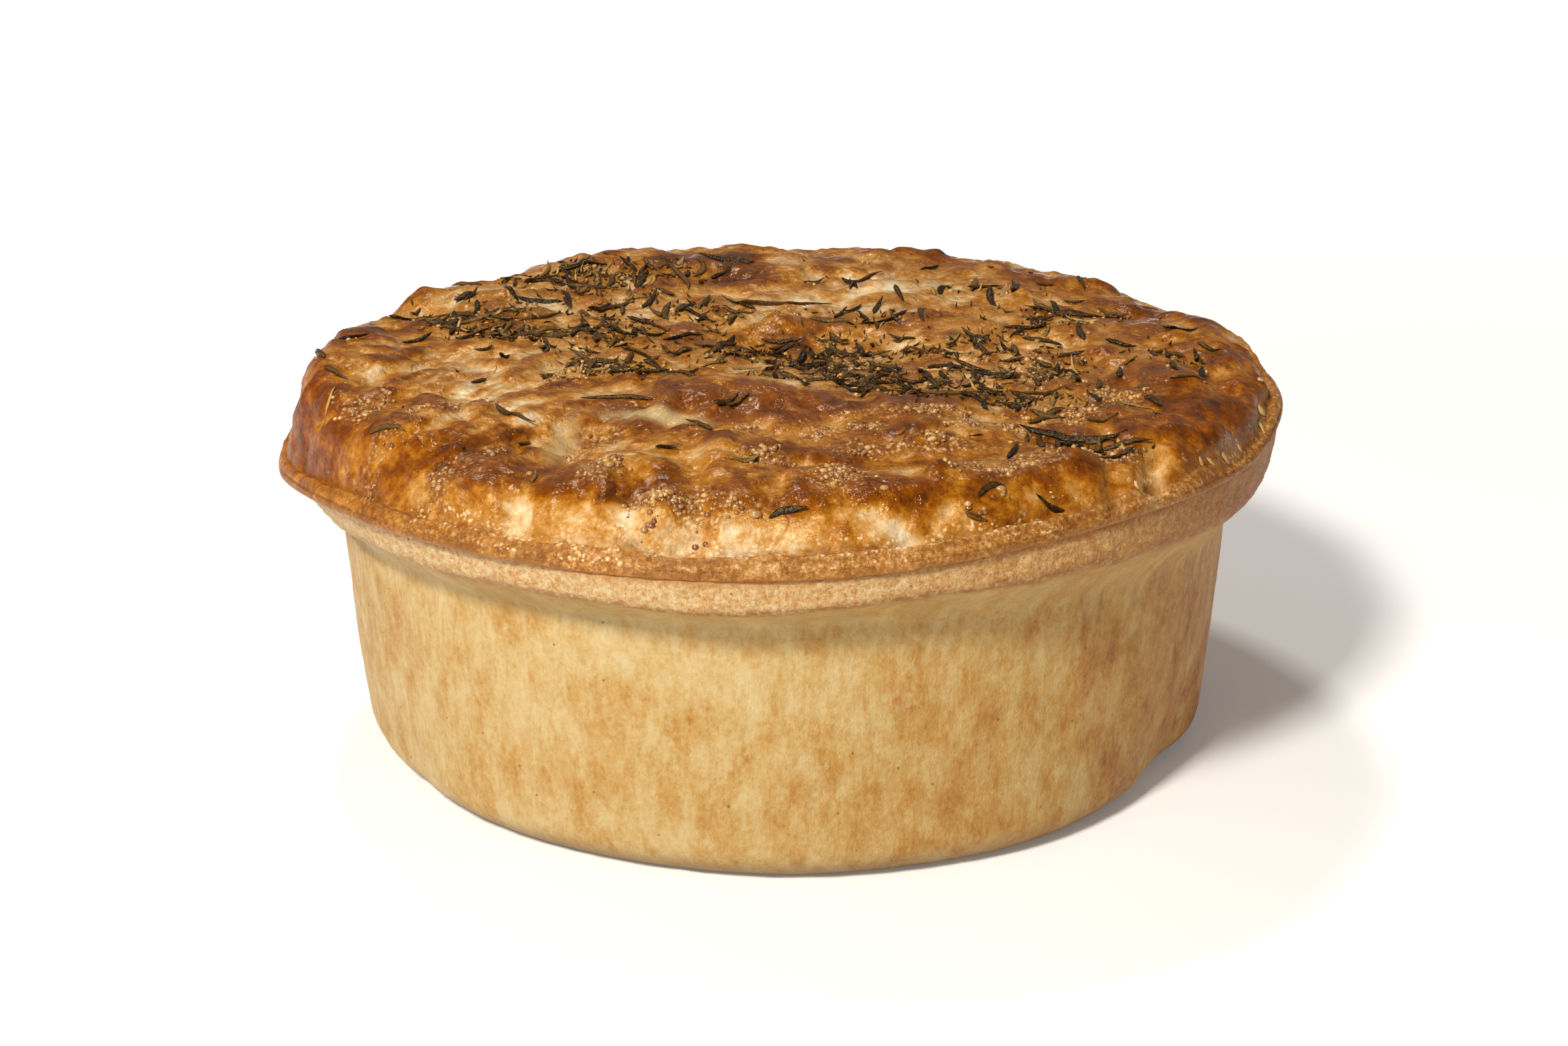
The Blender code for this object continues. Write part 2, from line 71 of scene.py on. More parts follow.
def display(red: int, green: int, blue: int, light: float = 1.0) -> Colour:
    """Return the linear colour of a surface that shows as a display colour under so much light.

    Args:
        red: red on the display, 0 to 255.
        green: green on the display, 0 to 255.
        blue: blue on the display, 0 to 255.
        light: what a white surface there would show, with 1 for full white.

    Returns:
        The base colour's linear red, green and blue.
    """
    shares = (channel / 255 for channel in (red, green, blue))
    linear = (s / 12.92 if s <= 0.04045 else ((s + 0.055) / 1.055) ** 2.4 for s in shares)
    return tuple(value / light for value in linear)


def smoothstep(value: Array) -> Array:
    """Ease from 0 to 1 as value does."""
    value = np.clip(value, 0.0, 1.0)
    return value * value * (3.0 - 2.0 * value)


def between(value: Array, low: float, high: float) -> Array:
    """Ease from 0 where value is low to 1 where it is high."""
    return smoothstep((value - low) / (high - low))


def window(value: Array, rise: tuple[float, float], fall: tuple[float, float]) -> Array:
    """Ease from 0 to 1 over the rise and back to 0 over the fall."""
    return between(value, *rise) * (1.0 - between(value, *fall))


def hump(offset: Array, width: float | Array) -> Array:
    """Return 1 where the offset is 0, falling to 0 over the width."""
    return np.exp(-((offset / width) ** 2))


def turn_from(middle: float, bearing: Array) -> Array:
    """Return the turn from a middle to bearings in radians, the short way round."""
    return np.arctan2(np.sin(bearing - middle), np.cos(bearing - middle))


def bell(bearing: Array, middle: float, spread: float) -> Array:
    """Return 1 at one bearing round the rim, falling to 0 over the spread."""
    return hump(turn_from(middle, bearing), spread)


def read_rows(items: Any, name: str) -> Array:
    """Read a property of three numbers.

    Args:
        items: a mesh's vertices or normals.
        name: the property's name.

    Returns:
        Rows of x, y and z.
    """
    flat = np.empty(3 * len(items))
    items.foreach_get(name, flat)
    return flat.reshape(-1, 3)


def read_points(mesh: bpy.types.Mesh) -> Array:
    """Return a mesh's vertices as rows of x, y and z."""
    return read_rows(mesh.vertices, "co")


def read_normals(mesh: bpy.types.Mesh) -> Array:
    """Return a mesh's vertex normals as rows of x, y and z."""
    return read_rows(mesh.vertex_normals, "vector")


def write_points(mesh: bpy.types.Mesh, points: Array) -> None:
    """Move a mesh's vertices to rows of x, y and z."""
    mesh.vertices.foreach_set("co", np.ascontiguousarray(points, dtype=np.float32).ravel())
    mesh.update()


def write_mask(mesh: bpy.types.Mesh, name: str, values: Array) -> None:
    """Store one number for each vertex, for the mesh's material to read by name."""
    attribute = mesh.attributes.new(name, "FLOAT", "POINT")
    attribute.data.foreach_set("value", np.ascontiguousarray(values, dtype=np.float32))


def linked(name: str, mesh: bpy.types.Mesh) -> bpy.types.Object:
    """Put a mesh into the scene.

    Args:
        name: the new object's name.
        mesh: its mesh.

    Returns:
        The object.
    """
    piece = bpy.data.objects.new(name, mesh)
    bpy.context.scene.collection.objects.link(piece)
    return piece


class GrainField:
    """Seeded gradient noise for whole arrays of points."""

    lattice: int = 256
    gain: float = 1.5
    layer_shift: float = 17.0
    warp_shifts: tuple[float, float, float] = (0.0, 0.31, 0.57)

    def __init__(self, seed: int) -> None:
        """Draw the lattice of slopes.

        Args:
            seed: what it is drawn from.
        """
        draw = np.random.default_rng(seed)
        self.order = draw.permutation(self.lattice)
        slopes = draw.normal(size=(self.lattice, 3))
        self.slopes = slopes / np.linalg.norm(slopes, axis=1, keepdims=True)

    def at(self, points: Array, size: float | Sequence[float]) -> Array:
        """Return noise of about -1 to 1.

        Args:
            points: rows of x, y and z in metres.
            size: the size of its lumps in metres, one for all axes or one for each.

        Returns:
            One number for each point.
        """
        last = self.lattice - 1
        spot = points / np.asarray(size, dtype=float)
        cell = np.floor(spot).astype(int)
        inside = spot - cell
        ease = inside**3 * (inside * (inside * 6.0 - 15.0) + 10.0)
        total = np.zeros(len(points))
        for corner in itertools.product((0, 1), repeat=3):
            step = np.array(corner)
            key = self.order[(cell[:, 0] + step[0]) & last]
            key = self.order[(key + cell[:, 1] + step[1]) & last]
            key = self.order[(key + cell[:, 2] + step[2]) & last]
            share = np.prod(np.where(step, ease, 1.0 - ease), axis=1)
            total += share * np.einsum("ij,ij->i", self.slopes[key], inside - step)
        return self.gain * total

    def layered(self, points: Array, size: float | Sequence[float], layers: int = 4) -> Array:
        """Return noise summed over layers, each half the size and half the height of the last.

        Args:
            points: rows of x, y and z in metres.
            size: the size of the first layer's lumps in metres, one for all axes or one for each.
            layers: how many there are.

        Returns:
            One number for each point.
        """
        lump = np.asarray(size, dtype=float)
        total = np.zeros(len(points))
        for layer in range(layers):
            total += self.at(points + self.layer_shift * layer * MM, lump / 2**layer) / 2**layer
        return total

    def warp(self, points: Array, reach: float, size: float) -> Array:
        """Return moves of up to about a reach along each axis, in lumps of a size, in metres."""
        return reach * np.column_stack([self.at(points + shift, size) for shift in self.warp_shifts])


@dataclass(frozen=True)
class Patch:
    """An oval region of the lid in plan, in millimetres and degrees, with a strength."""

    x: float
    y: float
    half_length: float
    half_width: float
    heading: float = 0.0
    strength: float = 1.0

    def reach(self, x: Array, y: Array) -> Array:
        """Return the patch's strength, fading out from its middle.

        Args:
            x: places along X in metres.
            y: places along Y in metres.

        Returns:
            The strength at each place.
        """
        turn = math.radians(self.heading)
        ahead = (x / MM - self.x) * math.cos(turn) + (y / MM - self.y) * math.sin(turn)
        aside = (y / MM - self.y) * math.cos(turn) - (x / MM - self.x) * math.sin(turn)
        spread = (ahead / self.half_length) ** 2 + (aside / self.half_width) ** 2
        return self.strength * np.exp(-spread)

    def spot(self, ahead: float, aside: float) -> tuple[float, float]:
        """Return a place in the patch.

        Args:
            ahead: how far it is from the middle along the heading, in metres.
            aside: how far it is to the heading's left, in metres.

        Returns:
            Its x and y in metres.
        """
        turn = math.radians(self.heading)
        x = self.x * MM + ahead * math.cos(turn) - aside * math.sin(turn)
        y = self.y * MM + ahead * math.sin(turn) + aside * math.cos(turn)
        return x, y


def as_patches(*rows: Sequence[float]) -> tuple[Patch, ...]:
    """Return patches from rows of x, y, half length, half width, heading and strength."""
    return tuple(Patch(*row) for row in rows)


def total_reach(patches: Iterable[Patch], x: Array, y: Array) -> Array:
    """Return the summed strength of patches at places in metres."""
    return sum((patch.reach(x, y) for patch in patches), np.zeros_like(x))


@dataclass(frozen=True)
class Stretch:
    """A stretch of the pie's round, by bearing and spread in degrees, with an amount in millimetres."""

    bearing: float
    spread: float
    amount: float

    def at(self, bearing: Array) -> Array:
        """Return the amount in metres at a bearing, fading out from the middle."""
        return self.amount * MM * bell(bearing, math.radians(self.bearing), math.radians(self.spread))


def as_stretches(*rows: Sequence[float]) -> tuple[Stretch, ...]:
    """Return stretches from rows of bearing, spread and amount."""
    return tuple(Stretch(*row) for row in rows)


def total_stretch(stretches: Iterable[Stretch], bearing: Array) -> Array:
    """Return the summed amount of stretches at bearings, in metres."""
    return sum((stretch.at(bearing) for stretch in stretches), np.zeros_like(bearing))


def swell(x: Array, y: Array, size: float, wavelength: float, seed: int) -> Array:
    """Return a gentle random relief, the part's own sum of 14 waves that run in all directions.

    Args:
        x: places along X in metres.
        y: places along Y in metres.
        size: the height of the swell in metres.
        wavelength: its mean length in metres.
        seed: what the waves are drawn from.

    Returns:
        The relief's height at each place.
    """
    waves = 14
    draw = random.Random(seed)
    height = np.zeros_like(x)
    for _ in range(waves):
        heading = draw.uniform(0.0, 2.0 * math.pi)
        pitch = 2.0 * math.pi / (wavelength * draw.uniform(0.7, 1.4))
        start = draw.uniform(0.0, 2.0 * math.pi)
        height += np.sin(pitch * (x * math.cos(heading) + y * math.sin(heading)) + start)
    return height * size / math.sqrt(waves)


# Where the seam stands above or below the part's own line.
SEAM_SWAYS = as_stretches(
    (-126, 20, 0.8), (-30, 15, -1.3),
)


@dataclass(frozen=True)
class Seam:
    """The line where lid and case meet: the part's own, with the small sways that its solid leaves out."""

    height: float = 49.6 * MM
    roll: float = 3.6 * MM
    pitch: float = 0.6 * MM
    ripple: float = 0.45 * MM
    ripples: float = 4.0
    flat_radius: float = 69.0 * MM
    flange_radius: float = 76.2 * MM
    gap: float = 0.3 * MM
    ear_bearing: float = math.radians(191.0)
    ear_drop: float = 2.0 * MM
    ear_drop_spread: float = math.radians(14.0)
    sag_bearing: float = math.radians(28.0)
    sag_drop: float = 1.8 * MM
    sag_spread: float = math.radians(13.0)

    def at(self, radius: float | Array, bearing: Array) -> Array:
        """Return the seam's height.

        Args:
            radius: distances from the axis in metres.
            bearing: directions from the axis in radians, 0 to the right.

        Returns:
            The height above the base at each place, in metres.
        """
        tilt = self.roll * np.cos(bearing) + self.pitch * np.sin(bearing)
        ripple = -self.ripple * np.cos(self.ripples * bearing)
        droop = -self.ear_drop * bell(bearing, self.ear_bearing, self.ear_drop_spread)
        droop -= self.sag_drop * bell(bearing, self.sag_bearing, self.sag_spread)
        droop += total_stretch(SEAM_SWAYS, bearing)
        edge = smoothstep((radius - self.flat_radius) / (self.flange_radius - self.flat_radius))
        return self.height + tilt * radius / self.flange_radius + edge * (ripple + droop)


# The lid's folds and hollows, with the rise of each in millimetres.
FOLDS = as_patches(
    (-9, -28, 12, 5.5, 8, 4.0), (14, -35, 16, 5.5, -5, 1.7), (4, 2, 17, 12, 0, -3.2),
    (30, -6, 22, 12, 0, -1.5), (-1, 13, 4.5, 3.6, 0, 2.2), (-8, 51, 32, 9, 0, 1.2),
    (1, 50, 4, 9, 10, 1.0), (-9, 42, 6, 5, 0, -1.6), (-66, -6, 22, 8, 88, 1.8),
    (64, 0, 22, 8, 92, 0.9), (-63, 32, 4, 4, 120, 1.2), (-30, -49, 13, 4.5, 70, -2.6),
    (-24, -41, 11, 3.5, 8, -1.2), (-22, -58, 7, 4, 60, 1.6), (-8, -54, 5, 9, 8, 1.8),
    (26, -62, 12, 5, 5, 1.2), (13, -54, 14, 4.5, 4, -1.3), (-19, -65, 7, 4, 0, -1.6),
    (-50, -42, 16, 5, 42, 1.6), (-44, -52, 16, 3.6, 38, -1.6), (-62, -36, 6, 4, 40, -1.4),
    (57, -16, 12, 5.5, -62, 1.9), (64, -20, 12, 3.2, -66, -1.9), (40, -46, 12, 4, -48, -1.4),
    (55, -42, 8, 5, 50, 1.8), (22, -45, 10, 3.5, 8, 1.0), (39, -56, 5, 5, 0, 1.0),
    (8, -62, 6, 5, 0, 0.8),
)

# Short creases that run in from the lip at the front.
CREASES = as_patches(
    (-11.6, -63, 1.6, 6.5, 0, -1.0), (-0.5, -65, 1.3, 2.2, 0, -0.9), (16.5, -61, 1.8, 6, 0, -0.8),
    (44, -57, 1.6, 6, 0, -1.3), (50.5, -53, 1.5, 5, -10, -1.2), (-20, -66, 1.6, 4, 10, -0.8),
    (-36, -62, 1.8, 5, 30, -0.8),
)

# Where the lid's shoulder, just inside the lip, stands higher or lower.
RIM_RISES = as_stretches(
    (119, 10, 1.3), (137, 5, -0.4), (150, 6, 1.0), (160, 6, -2.2), (174, 6, -1.0), (97, 6, 0.5),
    (88, 5, -0.9), (71, 4, 0.4), (33, 8, -1.2), (22, 5, -1.8), (11, 6, -0.5),
)

# Where the lid climbs nearer to the lip's edge, or further from it.
KNUCKLES = as_stretches(
    (9, 12, 2.4), (-20, 12, 0.5), (-39, 6, 1.1), (-46, 2.5, -1.2), (-53, 5, 1.1), (-61, 3, -0.6),
    (-76, 2.5, -0.8), (-84, 4, 0.6), (-91, 2.5, -0.5), (-100, 2.5, -0.9), (-107, 5, 0.7),
    (-117, 3, -0.6), (-126, 5, 0.5), (-136, 3, -0.6), (72, 4, -0.8), (121, 4, -0.7),
)

# Where the flange's lower edge hangs lower, or higher where the amount is below 0.
DROOPS = as_stretches(
    (-96, 12, 1.2), (-128, 20, 0.6), (-60, 18, 0.3), (-30, 15, 0.6), (-75, 5, -0.2),
    (-148, 4, 0.25), (60, 12, 0.4), (120, 16, 0.5), (172, 9, 0.4),
)

# Where the case's foot stands out or in.
BASE_BULGES = as_stretches(
    (-28, 8, -2.3), (-166, 12, -0.9), (-146, 4, -0.5), (-98, 9, -0.3), (-60, 14, 0.25),
    (42, 12, -1.2), (98, 9, -0.8), (138, 8, -1.4),
)


@dataclass(frozen=True)
class LidForm:
    """The lid's shape: the part's own folds, and the finer relief that its solid leaves out."""

    seam: Seam = Seam()
    lip_radius: float = 76.9 * MM
    lip_shift: float = 0.45 * MM
    lip_thickness: float = 3.3 * MM
    lip_rounding: float = 2.3 * MM
    groove_inset: float = 2.9 * MM
    groove_depth: float = 0.45 * MM
    groove_width: float = 0.7 * MM
    crack_bearing: float = math.radians(-24.0)
    crack_spread: float = math.radians(24.0)
    crack_depth: float = 0.9 * MM
    notch_bearing: float = math.radians(194.0)
    notch_spread: float = math.radians(13.0)
    notch_depth: float = 1.5 * MM
    notch_widening: float = 0.7
    thin_bearing: float = math.radians(-28.0)
    thin_spread: float = math.radians(17.0)
    thin_height: float = 1.0 * MM
    thin_reach: float = 1.2 * MM
    ear_reach: float = 0.7 * MM
    ear_reach_spread: float = math.radians(9.0)
    dent_bearing: float = math.radians(3.0)
    dent_depth: float = 1.5 * MM
    dent_spread: float = math.radians(9.0)
    rise_inset: float = 2.7 * MM
    rise_span: float = 8.8 * MM
    rise_span_back: float = 5.5 * MM
    rise_span_left: float = -1.6 * MM
    rise_power: float = 3.0
    rise_power_back: float = 0.6
    early_left: float = 1.1 * MM
    plateau_height: float = 59.4 * MM
    plateau_fall: float = 1.0 * MM
    back_start: float = -10.0 * MM
    back_span: float = 60.0 * MM
    left_start: float = -50.0 * MM
    left_span: float = 30.0 * MM
    side_span: float = 70.0 * MM
    form_spread: float = 6.0 * MM
    shoulder_start: float = 1.0 * MM
    shoulder_climb: float = 4.0 * MM
    shoulder_end: float = 14.0 * MM
    shoulder_fade: float = 16.0 * MM

    def outer(self, bearing: Array) -> Array:
        """Return the lip's outer radius, further out at the ear on the left.

        Args:
            bearing: directions from the axis in radians.

        Returns:
            The radius in each direction, in metres.
        """
        ear = self.ear_reach * bell(bearing, self.seam.ear_bearing, self.ear_reach_spread)
        wobble = 0.25 * MM * np.sin(5.0 * bearing + 1.0) + 0.2 * MM * np.sin(9.0 * bearing + 2.0)
        dent = self.dent_depth * bell(bearing, self.dent_bearing, self.dent_spread)
        return self.lip_radius - self.lip_shift * np.cos(bearing) + ear - dent + wobble

    def inset(self, x: Array, y: Array) -> Array:
        """Return how far inside the lip places are."""
        return self.outer(np.arctan2(y, x)) - np.hypot(x, y)

    def thickness(self, bearing: Array) -> Array:
        """Return how thick the lip is, thinner on the right."""
        return self.lip_thickness - self.thin_height * bell(bearing, self.thin_bearing, self.thin_spread)

    def thin(self, bearing: Array) -> Array:
        """Return how much nearer to the edge the lid climbs where the lip is thin."""
        return self.thin_reach * bell(bearing, self.thin_bearing, self.thin_spread)

    def groove(self, inset: Array, bearing: Array) -> Array:
        """Return how deep the pressed line behind the lip is, deeper at its crack and its notch.

        Args:
            inset: how far inside the lip places are, in metres.
            bearing: their directions from the axis in radians.

        Returns:
            The depth at each place, in metres.
        """
        notch = bell(bearing, self.notch_bearing, self.notch_spread)
        depth = self.groove_depth + self.crack_depth * bell(bearing, self.crack_bearing, self.crack_spread)
        depth = depth + self.notch_depth * notch
        width = self.groove_width * (1.0 + self.notch_widening * notch)
        return depth * hump(inset - self.groove_inset + self.thin(bearing), width)

    def shoulder(self, inset: Array) -> Array:
        """Return the share of the rim's rises that shows so far inside the lip."""
        shoulder = smoothstep((inset - self.shoulder_start) / self.shoulder_climb)
        return shoulder * (1.0 - smoothstep((inset - self.shoulder_end) / self.shoulder_fade))

    def height(self, x: Array, y: Array) -> Array:
        """Return the height of the lid's top, as in the part's source but for the lip's small changes.

        Args:
            x: places along X in metres.
            y: places along Y in metres.

        Returns:
            The height above the base at each place, in metres.
        """
        bearing = np.arctan2(y, x)
        inset = self.inset(x, y)
        corner = np.clip(self.lip_rounding - inset, 0.0, self.lip_rounding) / self.lip_rounding
        seam = self.seam.at(self.seam.flange_radius, bearing)
        lip = seam + self.thickness(bearing) * np.sqrt(1.0 - corner**2)
        back = smoothstep((y - self.back_start) / self.back_span)
        left = np.clip(-x / self.side_span, 0.0, 1.0) * (1.0 - back)
        left = left * np.clip((y - self.left_start) / self.left_span, 0.0, 1.0)
        plateau = self.plateau_height - self.plateau_fall * np.clip(-y / self.side_span, 0.0, 1.0)
        span = self.rise_span + self.rise_span_back * back + self.rise_span_left * left
        early = self.early_left * left + total_stretch(KNUCKLES, bearing) + self.thin(bearing)
        climb = np.clip((inset - self.rise_inset + early) / span, 0.0, 1.0)
        puff = 1.0 - (1.0 - climb) ** (self.rise_power - self.rise_power_back * back)
        relief = MM * total_reach(FOLDS, x, y)
        relief += swell(x, y, 0.22 * MM, 15.0 * MM, seed=3) + swell(x, y, 0.14 * MM, 7.0 * MM, seed=5)
        inside = smoothstep((inset - self.rise_inset) / self.form_spread)
        rises = total_stretch(RIM_RISES, bearing) * self.shoulder(inset)
        return lip + (plateau - lip) * puff + inside * relief + rises - self.groove(inset, bearing)


class Shade:
    """One output socket of a material's nodes, with arithmetic that adds Math nodes."""

    def __init__(self, sheet: "ShadeSheet", socket: bpy.types.NodeSocket) -> None:
        """Wrap a socket of a sheet."""
        self.sheet = sheet
        self.socket = socket

    def __add__(self, other: "Shade | float") -> "Shade":
        """Return self + other."""
        return self.sheet.maths("ADD", self, other)

    def __radd__(self, other: float) -> "Shade":
        """Return other + self."""
        return self.sheet.maths("ADD", other, self)

    def __sub__(self, other: "Shade | float") -> "Shade":
        """Return self - other."""
        return self.sheet.maths("SUBTRACT", self, other)

    def __rsub__(self, other: float) -> "Shade":
        """Return other - self."""
        return self.sheet.maths("SUBTRACT", other, self)

    def __mul__(self, other: "Shade | float") -> "Shade":
        """Return self * other."""
        return self.sheet.maths("MULTIPLY", self, other)

    def __rmul__(self, other: float) -> "Shade":
        """Return other * self."""
        return self.sheet.maths("MULTIPLY", other, self)

    def clipped(self) -> "Shade":
        """Return self kept between 0 and 1."""
        return self.sheet.node("ShaderNodeClamp", {}, {"Value": self})

    def between(self, low: float, high: float) -> "Shade":
        """Return 0 where self is low, easing to 1 where it is high."""
        inputs = {"Value": self, "From Min": low, "From Max": high}
        return self.sheet.node("ShaderNodeMapRange", {"interpolation_type": "SMOOTHSTEP"}, inputs)


class ShadeSheet:
    """The nodes of one material, written as expressions."""

    def __init__(self, name: str) -> None:
        """Start a material with a Principled surface.

        Args:
            name: the material's name.
        """
        self.material = bpy.data.materials.new(name)
        self.material.use_nodes = True
        self.tree = self.material.node_tree
        self.surface = self.tree.nodes["Principled BSDF"]

    def put(self, socket: bpy.types.NodeSocket, value: Any) -> None:
        """Link a shade to a socket, or set the socket to a plain value.

        Args:
            socket: what is fed.
            value: a shade, a number, a colour or a vector.
        """
        if isinstance(value, Shade):
            self.tree.links.new(value.socket, socket)
        elif socket.type == "RGBA":
            socket.default_value = (*value, 1.0)
        else:
            socket.default_value = value

    def node(
        self, kind: str, settings: dict[str, Any], inputs: dict[str | int, Any], output: str | int = 0
    ) -> Shade:
        """Add a node.

        Args:
            kind: the node's type.
            settings: its properties, set first, with "stops" for a ramp's (position, colour) pairs.
            inputs: values or shades, by socket name or number.
            output: the socket that the shade stands for.

        Returns:
            The shade of that output.
        """
        made = self.tree.nodes.new(kind)
        for name, value in settings.items():
            if name == "stops":
                self.set_stops(made.color_ramp.elements, value)
            else:
                setattr(made, name, value)
        for name, value in inputs.items():
            self.put(made.inputs[name], value)
        return Shade(self, made.outputs[output])

    def set_stops(self, elements: bpy.types.ColorRampElements, stops: Sequence[tuple[float, Colour]]) -> None:
        """Set a ramp's stops.

        Args:
            elements: the ramp's own, two as it is new.
            stops: their positions from 0 to 1 and their colours.
        """
        while len(elements) < len(stops):
            elements.new(1.0)
        for element, (position, colour) in zip(elements, stops):
            element.position = position
            element.color = (*colour, 1.0)

    def maths(self, operation: str, first: Shade | float, second: Shade | float) -> Shade:
        """Return a Math node's result for two values."""
        return self.node("ShaderNodeMath", {"operation": operation}, {0: first, 1: second})

    def mix(
        self, share: Shade | float, first: Shade | Colour, second: Shade | Colour, blend: str = "MIX"
    ) -> Shade:
        """Return the first colour turned into the second by a share."""
        settings = {"data_type": "RGBA", "blend_type": blend, "clamp_factor": True}
        return self.node("ShaderNodeMix", settings, {0: share, 6: first, 7: second}, 2)

    def mask(self, name: str) -> Shade:
        """Return a number that the mesh stores by name."""
        return self.node("ShaderNodeAttribute", {"attribute_name": name}, {}, "Fac")

    def place(self, scale: tuple[float, float, float] = (1.0, 1.0, 1.0)) -> Shade:
        """Return the place on the object, stretched along each axis by a scale."""
        here = self.node("ShaderNodeTexCoord", {}, {}, "Object")
        return self.node("ShaderNodeVectorMath", {"operation": "MULTIPLY"}, {0: here, 1: scale})

    def noise(
        self, place: Shade, size: float, detail: float = 3.0, roughness: float = 0.5, warp: float = 0.0
    ) -> Shade:
        """Return cloudy noise of 0 to 1.

        Args:
            place: where on the surface it is read.
            size: the size of its lumps in metres.
            detail: how many finer layers it has.
            roughness: how strong they are.
            warp: how much it is pulled about.

        Returns:
            The noise.
        """
        inputs = {"Vector": place, "Scale": 1.0 / size, "Detail": detail, "Roughness": roughness}
        return self.node("ShaderNodeTexNoise", {}, {**inputs, "Distortion": warp})

    def cells(self, place: Shade, size: float, feature: str = "F1") -> Shade:
        """Return the distance to the nearest of scattered points, in cells of a size in metres."""
        return self.node("ShaderNodeTexVoronoi", {"feature": feature}, {"Vector": place, "Scale": 1.0 / size})

    def ramp(self, value: Shade, stops: Sequence[tuple[float, Colour]]) -> Shade:
        """Return a colour that runs through stops as value runs from 0 to 1."""
        return self.node("ShaderNodeValToRGB", {"stops": stops}, {0: value})

    def bump(self, height: Shade, depth: float) -> Shade:
        """Return the normal of a relief of 0 to 1 that is so many metres deep."""
        return self.node("ShaderNodeBump", {}, {"Height": height, "Distance": depth})

    def finish(self, **inputs: Any) -> bpy.types.Material:
        """Set the surface's sockets.

        Args:
            inputs: values or shades, by socket name with _ for a space.

        Returns:
            The material.
        """
        for name, value in inputs.items():
            self.put(self.surface.inputs[name.replace("_", " ")], value)
        return self.material


class Finish:
    """What the finishes share: colours given as the display shows them under the finish's light."""

    light: float

    def tone(self, shown: Shown) -> Colour:
        """Return the surface's own colour for one that shows."""
        return display(*shown, self.light)

    def tones(self, stops: Stops) -> list[tuple[float, Colour]]:
        """Return a ramp's stops in the surface's own colours."""
        return [(position, self.tone(shown)) for position, shown in stops]


